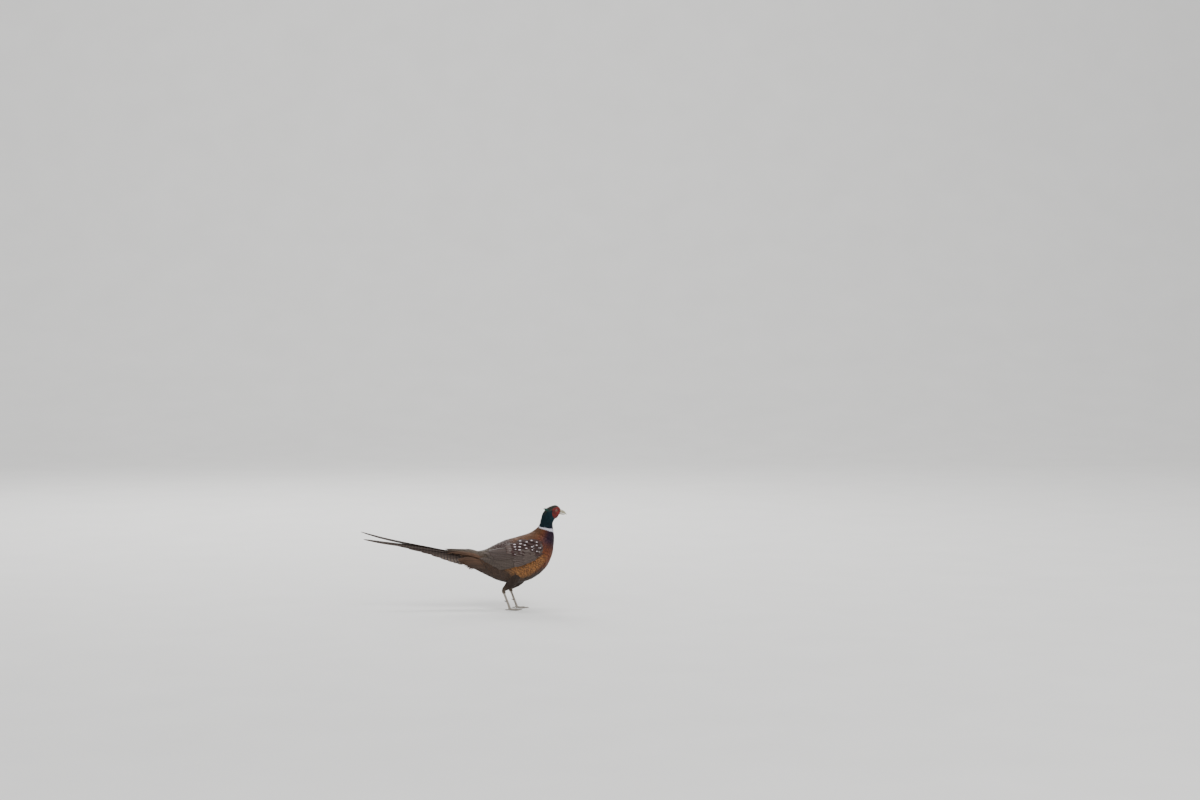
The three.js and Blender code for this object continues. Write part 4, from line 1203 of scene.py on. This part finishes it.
def wattle(side):
    """Rings round the eye from the lid to the outline, with both edges tucked under the skin."""
    rho = np.linspace(0, 1, 54)[:, None]
    turn = np.linspace(0, 2 * np.pi, 150, endpoint=False)[None]
    closed = np.array(WATTLE_REACH + WATTLE_REACH[:1])
    out = spline(closed[:, None], turn / (2 * np.pi))[..., 0]
    ragged = 0.3 * np.sin(turn * 11) + 0.2 * np.sin(turn * 17 + 1)
    reach = 4.4 + (out + ragged - 4.4) * rho
    x0, z0 = EYE_CENTRE
    x, z = x0 + reach * np.cos(turn), z0 + reach * np.sin(turn)
    station, angle = side_place(x, z, side, lowest=0.0)
    height = 1.9 * (1 - rho**4) * (0.45 + 0.55 * smooth(0, 0.35, rho))
    height = height + 0.9 * np.exp(-((x - LOBE[0]) ** 2 + (z - LOBE[1]) ** 2) / 45)
    fold = (z - 399.5) - 0.25 * (x - 150)
    inside = smooth(0.2, 0.5, rho) * (1 - smooth(0.8, 1, rho))
    height = height - 1.0 * np.exp(-((fold / 1.0) ** 2)) * inside
    fold = (z - 388.5) + 0.2 * (x - 147)
    height = height - 0.9 * np.exp(-((fold / 0.9) ** 2)) * (1 - smooth(0.85, 1, rho))
    edge = 1 - smooth(0.9, 1, rho)
    for bulb_x, bulb_z in zip(draws.uniform(132, 169, BULBS), draws.uniform(373, 424, BULBS)):
        bell = np.exp(-((x - bulb_x) ** 2 + (z - bulb_z) ** 2) / BULB_SPREAD)
        height = height + BULB_HEIGHT * bell * edge
    grid = trunk(station, angle) + normal_of(trunk, station, angle) * (height - 0.25)[..., None]
    grid[..., 1] = side * np.maximum(side * grid[..., 1], 0.5)
    under = trunk(station, angle, -3.2)
    return np.concatenate([under[:1], grid, under[-1:]])


wattle_paint = Paint("red face skin", roughness=0.6)
wattle_paint.shader.inputs["Specular IOR Level"].default_value = 0.3
inputs = {"Vector": wattle_paint.place(), "Scale": 620.0}
cells = wattle_paint.node("TexVoronoi", {"feature": "F1"}, inputs)
patchy = wattle_paint.noise(wattle_paint.place(), 110.0, 3.0)
colour = wattle_paint.blend(cells.ramp(0.1, 0.75), RED, DARK_RED)
colour = wattle_paint.blend(patchy.ramp(0.42, 0.6) * 0.8, colour, SHADED_RED)
wattle_paint.feed(base_color=colour, normal=wattle_paint.bump(1 - cells, 0.5, 0.0005))
for name, side in SIDES.items():
    piece = make_mesh("wattle_skin_" + name, *join_grids([wattle(side)]), wattle_paint.material)
    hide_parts("wattle_" + name)
print("wattle points:", len(piece.data.vertices))

# %% [markdown]
# ## The ear tufts
# Behind each eye stands a small tuft of stiff, glossy feathers that points back. They are narrow blades
# that leave the head together and part towards their tips.

# %% The ear tufts
for name, side in SIDES.items():
    count = 20
    share, pick = np.linspace(0, 1, count), draws.uniform(-1, 1, (3, count))
    x, z = 119.5 - 3 * share, 413.2 - 6.0 * share
    station, angle = side_place(x, z, side, lowest=0.0)
    root = trunk(station, angle, -0.8)
    out = root[:, 1] + side * (2.6 - 0.9 * share)
    tip = np.stack([98.5 + 10 * share + pick[0], out, 414.6 - 8.5 * share + pick[1] * 0.6], -1)
    middle = (root + tip) / 2 + np.stack([0 * x, side * (1.9 + 0.3 * pick[2]), 1.0 + 0 * x], -1)
    line = curve(root, middle, tip, 9)
    ups = np.broadcast_to(unit(np.array([0, side, 0.3])), line.shape)
    made = blades(line, ups, np.full(count, 1.25), thick=0.3, columns=5, cup=0.15, point=1.6, tip=0.06)
    look = Plumage(count, (0.006, 0.03, 0.022), INK, marks=(0.05, 0, 0), gloss=0.8).vary(0.2)
    parts = [(made, atlas_patch(unwrap(station, angle), made[1]), look)]
    piece = show_feathers("ear_feathers_" + name, parts, coat_paint)
    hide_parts("ear_tuft_" + name)
print("ear tufts done")

# %% [markdown]
# ## The legs
# The bare shank has a row of broad scutes down its front and small scales behind. Each toe has scutes
# on top, pads below and a flat sole on the floor. A scute is a step in the radius that rises slowly and
# ends sharply, so it is in the shape, and the fine scales between are in the paint.

# %% The shanks and toes
TOES = ((-0.62, 31, 2, 3.3), (-0.04, 44, 3, 3.6), (0.56, 34, 4, 3.2), (2.85, 13, 1, 2.7))


def saw(u, count):
    """Rises over most of each step and drops at its end."""
    share = (u * count) % 1.0
    return smooth(0, 0.55, share) * (1 - smooth(0.86, 1, share))


def leg_ends(foot):
    """The hock and the ankle over a foot."""
    x, y = foot
    return np.array([x - HOCK_BACK, y, HOCK_Z]), np.array([x, y, ANKLE_Z])


def toe_way(foot, angle):
    """The way a toe points: at its angle outwards from straight ahead."""
    outward = np.sign(foot[1]) * angle
    return np.array([np.cos(outward), np.sin(outward), 0])


def shank(foot):
    """Rings from hock to ankle. The radius swells at both joints, and scutes stand out on the front
    half."""
    u, turn = net(0.03, 0.985, 190, 28)
    hock, ankle = leg_ends(foot)
    ahead = unit(ankle - hock)
    front = unit(np.array([1.0, 0, 0]) - ahead * ahead[0])
    side = np.cross(ahead, front)
    knob = 1 + 0.5 * np.exp(-((u / 0.12) ** 2)) + 0.22 * np.exp(-(((1 - u) / 0.1) ** 2))
    facing = smooth(-0.1, 0.4, np.cos(turn))
    scale = 1 + 0.14 * saw(u, 15) * facing + 0.05 * saw(u + 0.02, 24) * (1 - facing)
    reach = 3.9 * knob * scale
    at = hock + (ankle - hock) * u[..., None]
    forward, out = np.cos(turn) * reach * 1.08, np.sin(turn) * reach * 0.86
    return at + front * forward[..., None] + side * out[..., None]


def toe(foot, angle, length, joints, thick):
    """Rings along a toe. The top carries scutes, the underside a pad for each joint, and the sole is
    pressed flat."""
    way = toe_way(foot, angle)
    side = np.array([-way[1], way[0], 0])
    u, turn = net(0, 1, 26 + 26 * joints, 26)
    pad = 0.1 * np.cos(2 * np.pi * joints * u)
    over = 0.13 * saw(1 - u, 5 * joints) * smooth(0, 0.5, np.cos(turn))
    reach = thick * (1 - 0.34 * u) * (1 + pad + over) * np.sqrt(np.clip((1.02 - u) / 0.06, 0, 1))
    height = mix(7.0, 1.8, u) if joints == 1 else mix(5.4, 2.6, smooth(0, 0.5, u))
    at = np.array([foot[0], foot[1], 0]) + way * (length * u)[..., None]
    spot = at + side * (np.sin(turn) * reach)[..., None]
    spot[..., 2] = np.maximum(0.0, height + np.cos(turn) * reach)
    return spot


def horn_tube(points, radii):
    """A smooth tapered tube through the points, closed at its tip."""
    grid = limb(points, radii)(*net(0, 1, 24, 16))
    grid[..., 2] = np.maximum(grid[..., 2], 0.0)
    return grid


def ball_grid(centre, radii):
    """A ball as rings from below to above, flat where it meets the floor."""
    spot = np.stack(ball_net(24, 32), -1) * radii + centre
    spot[..., 2] = np.maximum(spot[..., 2], 0.0)
    return spot


scale_paint = Paint("leg scales", roughness=0.5, coat_weight=0.1)
inputs = {"Vector": scale_paint.place(), "Scale": 560.0}
cells = scale_paint.node("TexVoronoi", {"feature": "DISTANCE_TO_EDGE"}, inputs)
tone = scale_paint.noise(scale_paint.place(), 130.0, 3.0)
colour = scale_paint.blend(tone, (0.17, 0.15, 0.125), (0.3, 0.265, 0.22))
colour = scale_paint.blend((1 - cells.ramp(0.02, 0.12)) * 0.6, colour, (0.1, 0.085, 0.07))
scale_paint.feed(base_color=colour, normal=scale_paint.bump(cells.ramp(0.0, 0.2), 0.4, 0.0004))
claw_paint = Paint("claws", roughness=0.35, coat_weight=0.2)
tone = claw_paint.noise(claw_paint.place(), 300.0, 3.0)
claw_paint.feed(base_color=claw_paint.blend(tone, (0.05, 0.04, 0.03), (0.16, 0.13, 0.1)))
for name, foot in FEET.items():
    grids = [shank(foot), ball_grid([foot[0], foot[1], 6.6], [5.6, 5.0, 5.6])]
    claws = []
    for angle, length, joints, thick in TOES:
        grids.append(toe(foot, angle, length, joints, thick))
        way = toe_way(foot, angle)
        root = np.array([foot[0], foot[1], 2.5]) + way * (length - 2.0)
        line = [root, root + way * 5 + [0, 0, 1.0], root + way * 10.4 - [0, 0, 2.0]]
        claws.append(horn_tube(line, [2.0, 1.6, 0.3]))
    hock, ankle = leg_ends(foot)
    heel = hock * 0.4 + ankle * 0.6
    inward = -np.sign(foot[1]) * 0.45
    spur = [heel, heel + [-7, inward * 6.6, 0.4], heel + [-13, inward * 12, 3.5]]
    claws.append(horn_tube(spur, [3.0, 2.0, 0.3]))
    leg = make_mesh("leg_" + name, *join_grids(grids), scale_paint.material)
    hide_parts("shank_" + name, "foot_" + name)
    horn = make_mesh("claws_" + name, *join_grids(claws), claw_paint.material)
print("leg points:", len(leg.data.vertices))

# %% [markdown]
# ## Floor, light and camera
# The floor is plain and pale, and far behind the bird it sweeps up into a wall, so there is no edge.
# One broad light from above and to the side shapes the bird, a second one fills its shaded side, a
# third one from behind lifts its outline, and a fourth one evens out the wall. The camera stands where
# the photographer stood: a little over a metre up and nine and a half metres away, so the bird is small
# in the frame.

# %% The floor and the lights
FLOOR_FRONT, FLOOR_BACK, BEND, WALL_TOP, HALF_WIDTH = -30, 8, 6, 20, 40.0
sweep = np.linspace(0, np.pi / 2, 25)
depth = np.concatenate([[FLOOR_FRONT], FLOOR_BACK + BEND * np.sin(sweep), [FLOOR_BACK + BEND]])
rise = np.concatenate([[0], BEND - BEND * np.cos(sweep), [WALL_TOP]])
count = len(depth)
across = np.repeat([-HALF_WIDTH, HALF_WIDTH], count)
points = np.stack([across, np.tile(depth, 2), np.tile(rise, 2)], -1)
step = np.arange(count - 1)
floor_mesh = bpy.data.meshes.new("floor")
quads = np.stack([step, step + count, step + count + 1, step + 1], -1)
floor_mesh.from_pydata(points.tolist(), [], quads.tolist())
floor_mesh.polygons.foreach_set("use_smooth", np.ones(count - 1, bool))
floor = bpy.data.objects.new("floor", floor_mesh)
bpy.context.scene.collection.objects.link(floor)
floor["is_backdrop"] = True
paint = Paint("pale floor", roughness=0.85)
cloud = paint.noise(paint.place(), 3.0, 2.0)
paint.feed(base_color=paint.blend(cloud, (0.7, 0.69, 0.67), (0.76, 0.75, 0.73)))
floor_mesh.materials.append(paint.material)
world = bpy.data.worlds.new("soft air")
world.use_nodes = True
world.node_tree.nodes["Background"].inputs["Color"].default_value = (0.93, 0.95, 0.98, 1)
world.node_tree.nodes["Background"].inputs["Strength"].default_value = 0.75
bpy.context.scene.world = world


def soft_light(name, place, aim, power, size):
    """A square light at place, facing aim."""
    light = bpy.data.lights.new(name, "AREA")
    light.energy, light.size = power, size
    lamp = bpy.data.objects.new(name, light)
    bpy.context.scene.collection.objects.link(lamp)
    away = np.array(place, float) - aim
    lamp.location = place
    down = np.arctan2(np.hypot(away[0], away[1]), away[2])
    lamp.rotation_euler = (down, 0, np.arctan2(away[1], away[0]) + np.pi / 2)


middle = np.array([0.0, 0.0, 0.25])
soft_light("key", (3.4, -5.2, 6.4), middle, 520, 4.0)
soft_light("fill", (-5.0, -5.0, 3.4), middle, 110, 5.0)
soft_light("rim", (-1.4, 5.2, 4.6), middle, 230, 3.0)
soft_light("wall", (0.0, 2.0, 9.0), np.array([0.0, 13.0, 3.0]), 900, 7.0)

# %% The camera
lens, away, height, dip, swing = 70.0, 9.57, 1.3, 2.617, -3.354
camera_data = bpy.data.cameras.new("camera")
camera_data.lens, camera_data.sensor_width = lens, 36.0
camera = bpy.data.objects.new("camera", camera_data)
bpy.context.scene.collection.objects.link(camera)
camera.location = (0.0, -away, height)
camera.rotation_euler = (np.radians(90 - dip), 0, np.radians(swing))
bpy.context.scene.camera = camera
print("camera height in m:", height)

# %% The sizes, and the end
visual_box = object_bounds()
[[[float(v) for v in corner] for corner in box] for box in (cad_box, visual_box)]
print("CAD box", cad_box, "visual box", visual_box)
total = sum(len(o.data.loops) - 2 * len(o.data.polygons) for o in bpy.data.objects if o.type == "MESH")
print("triangles:", total)
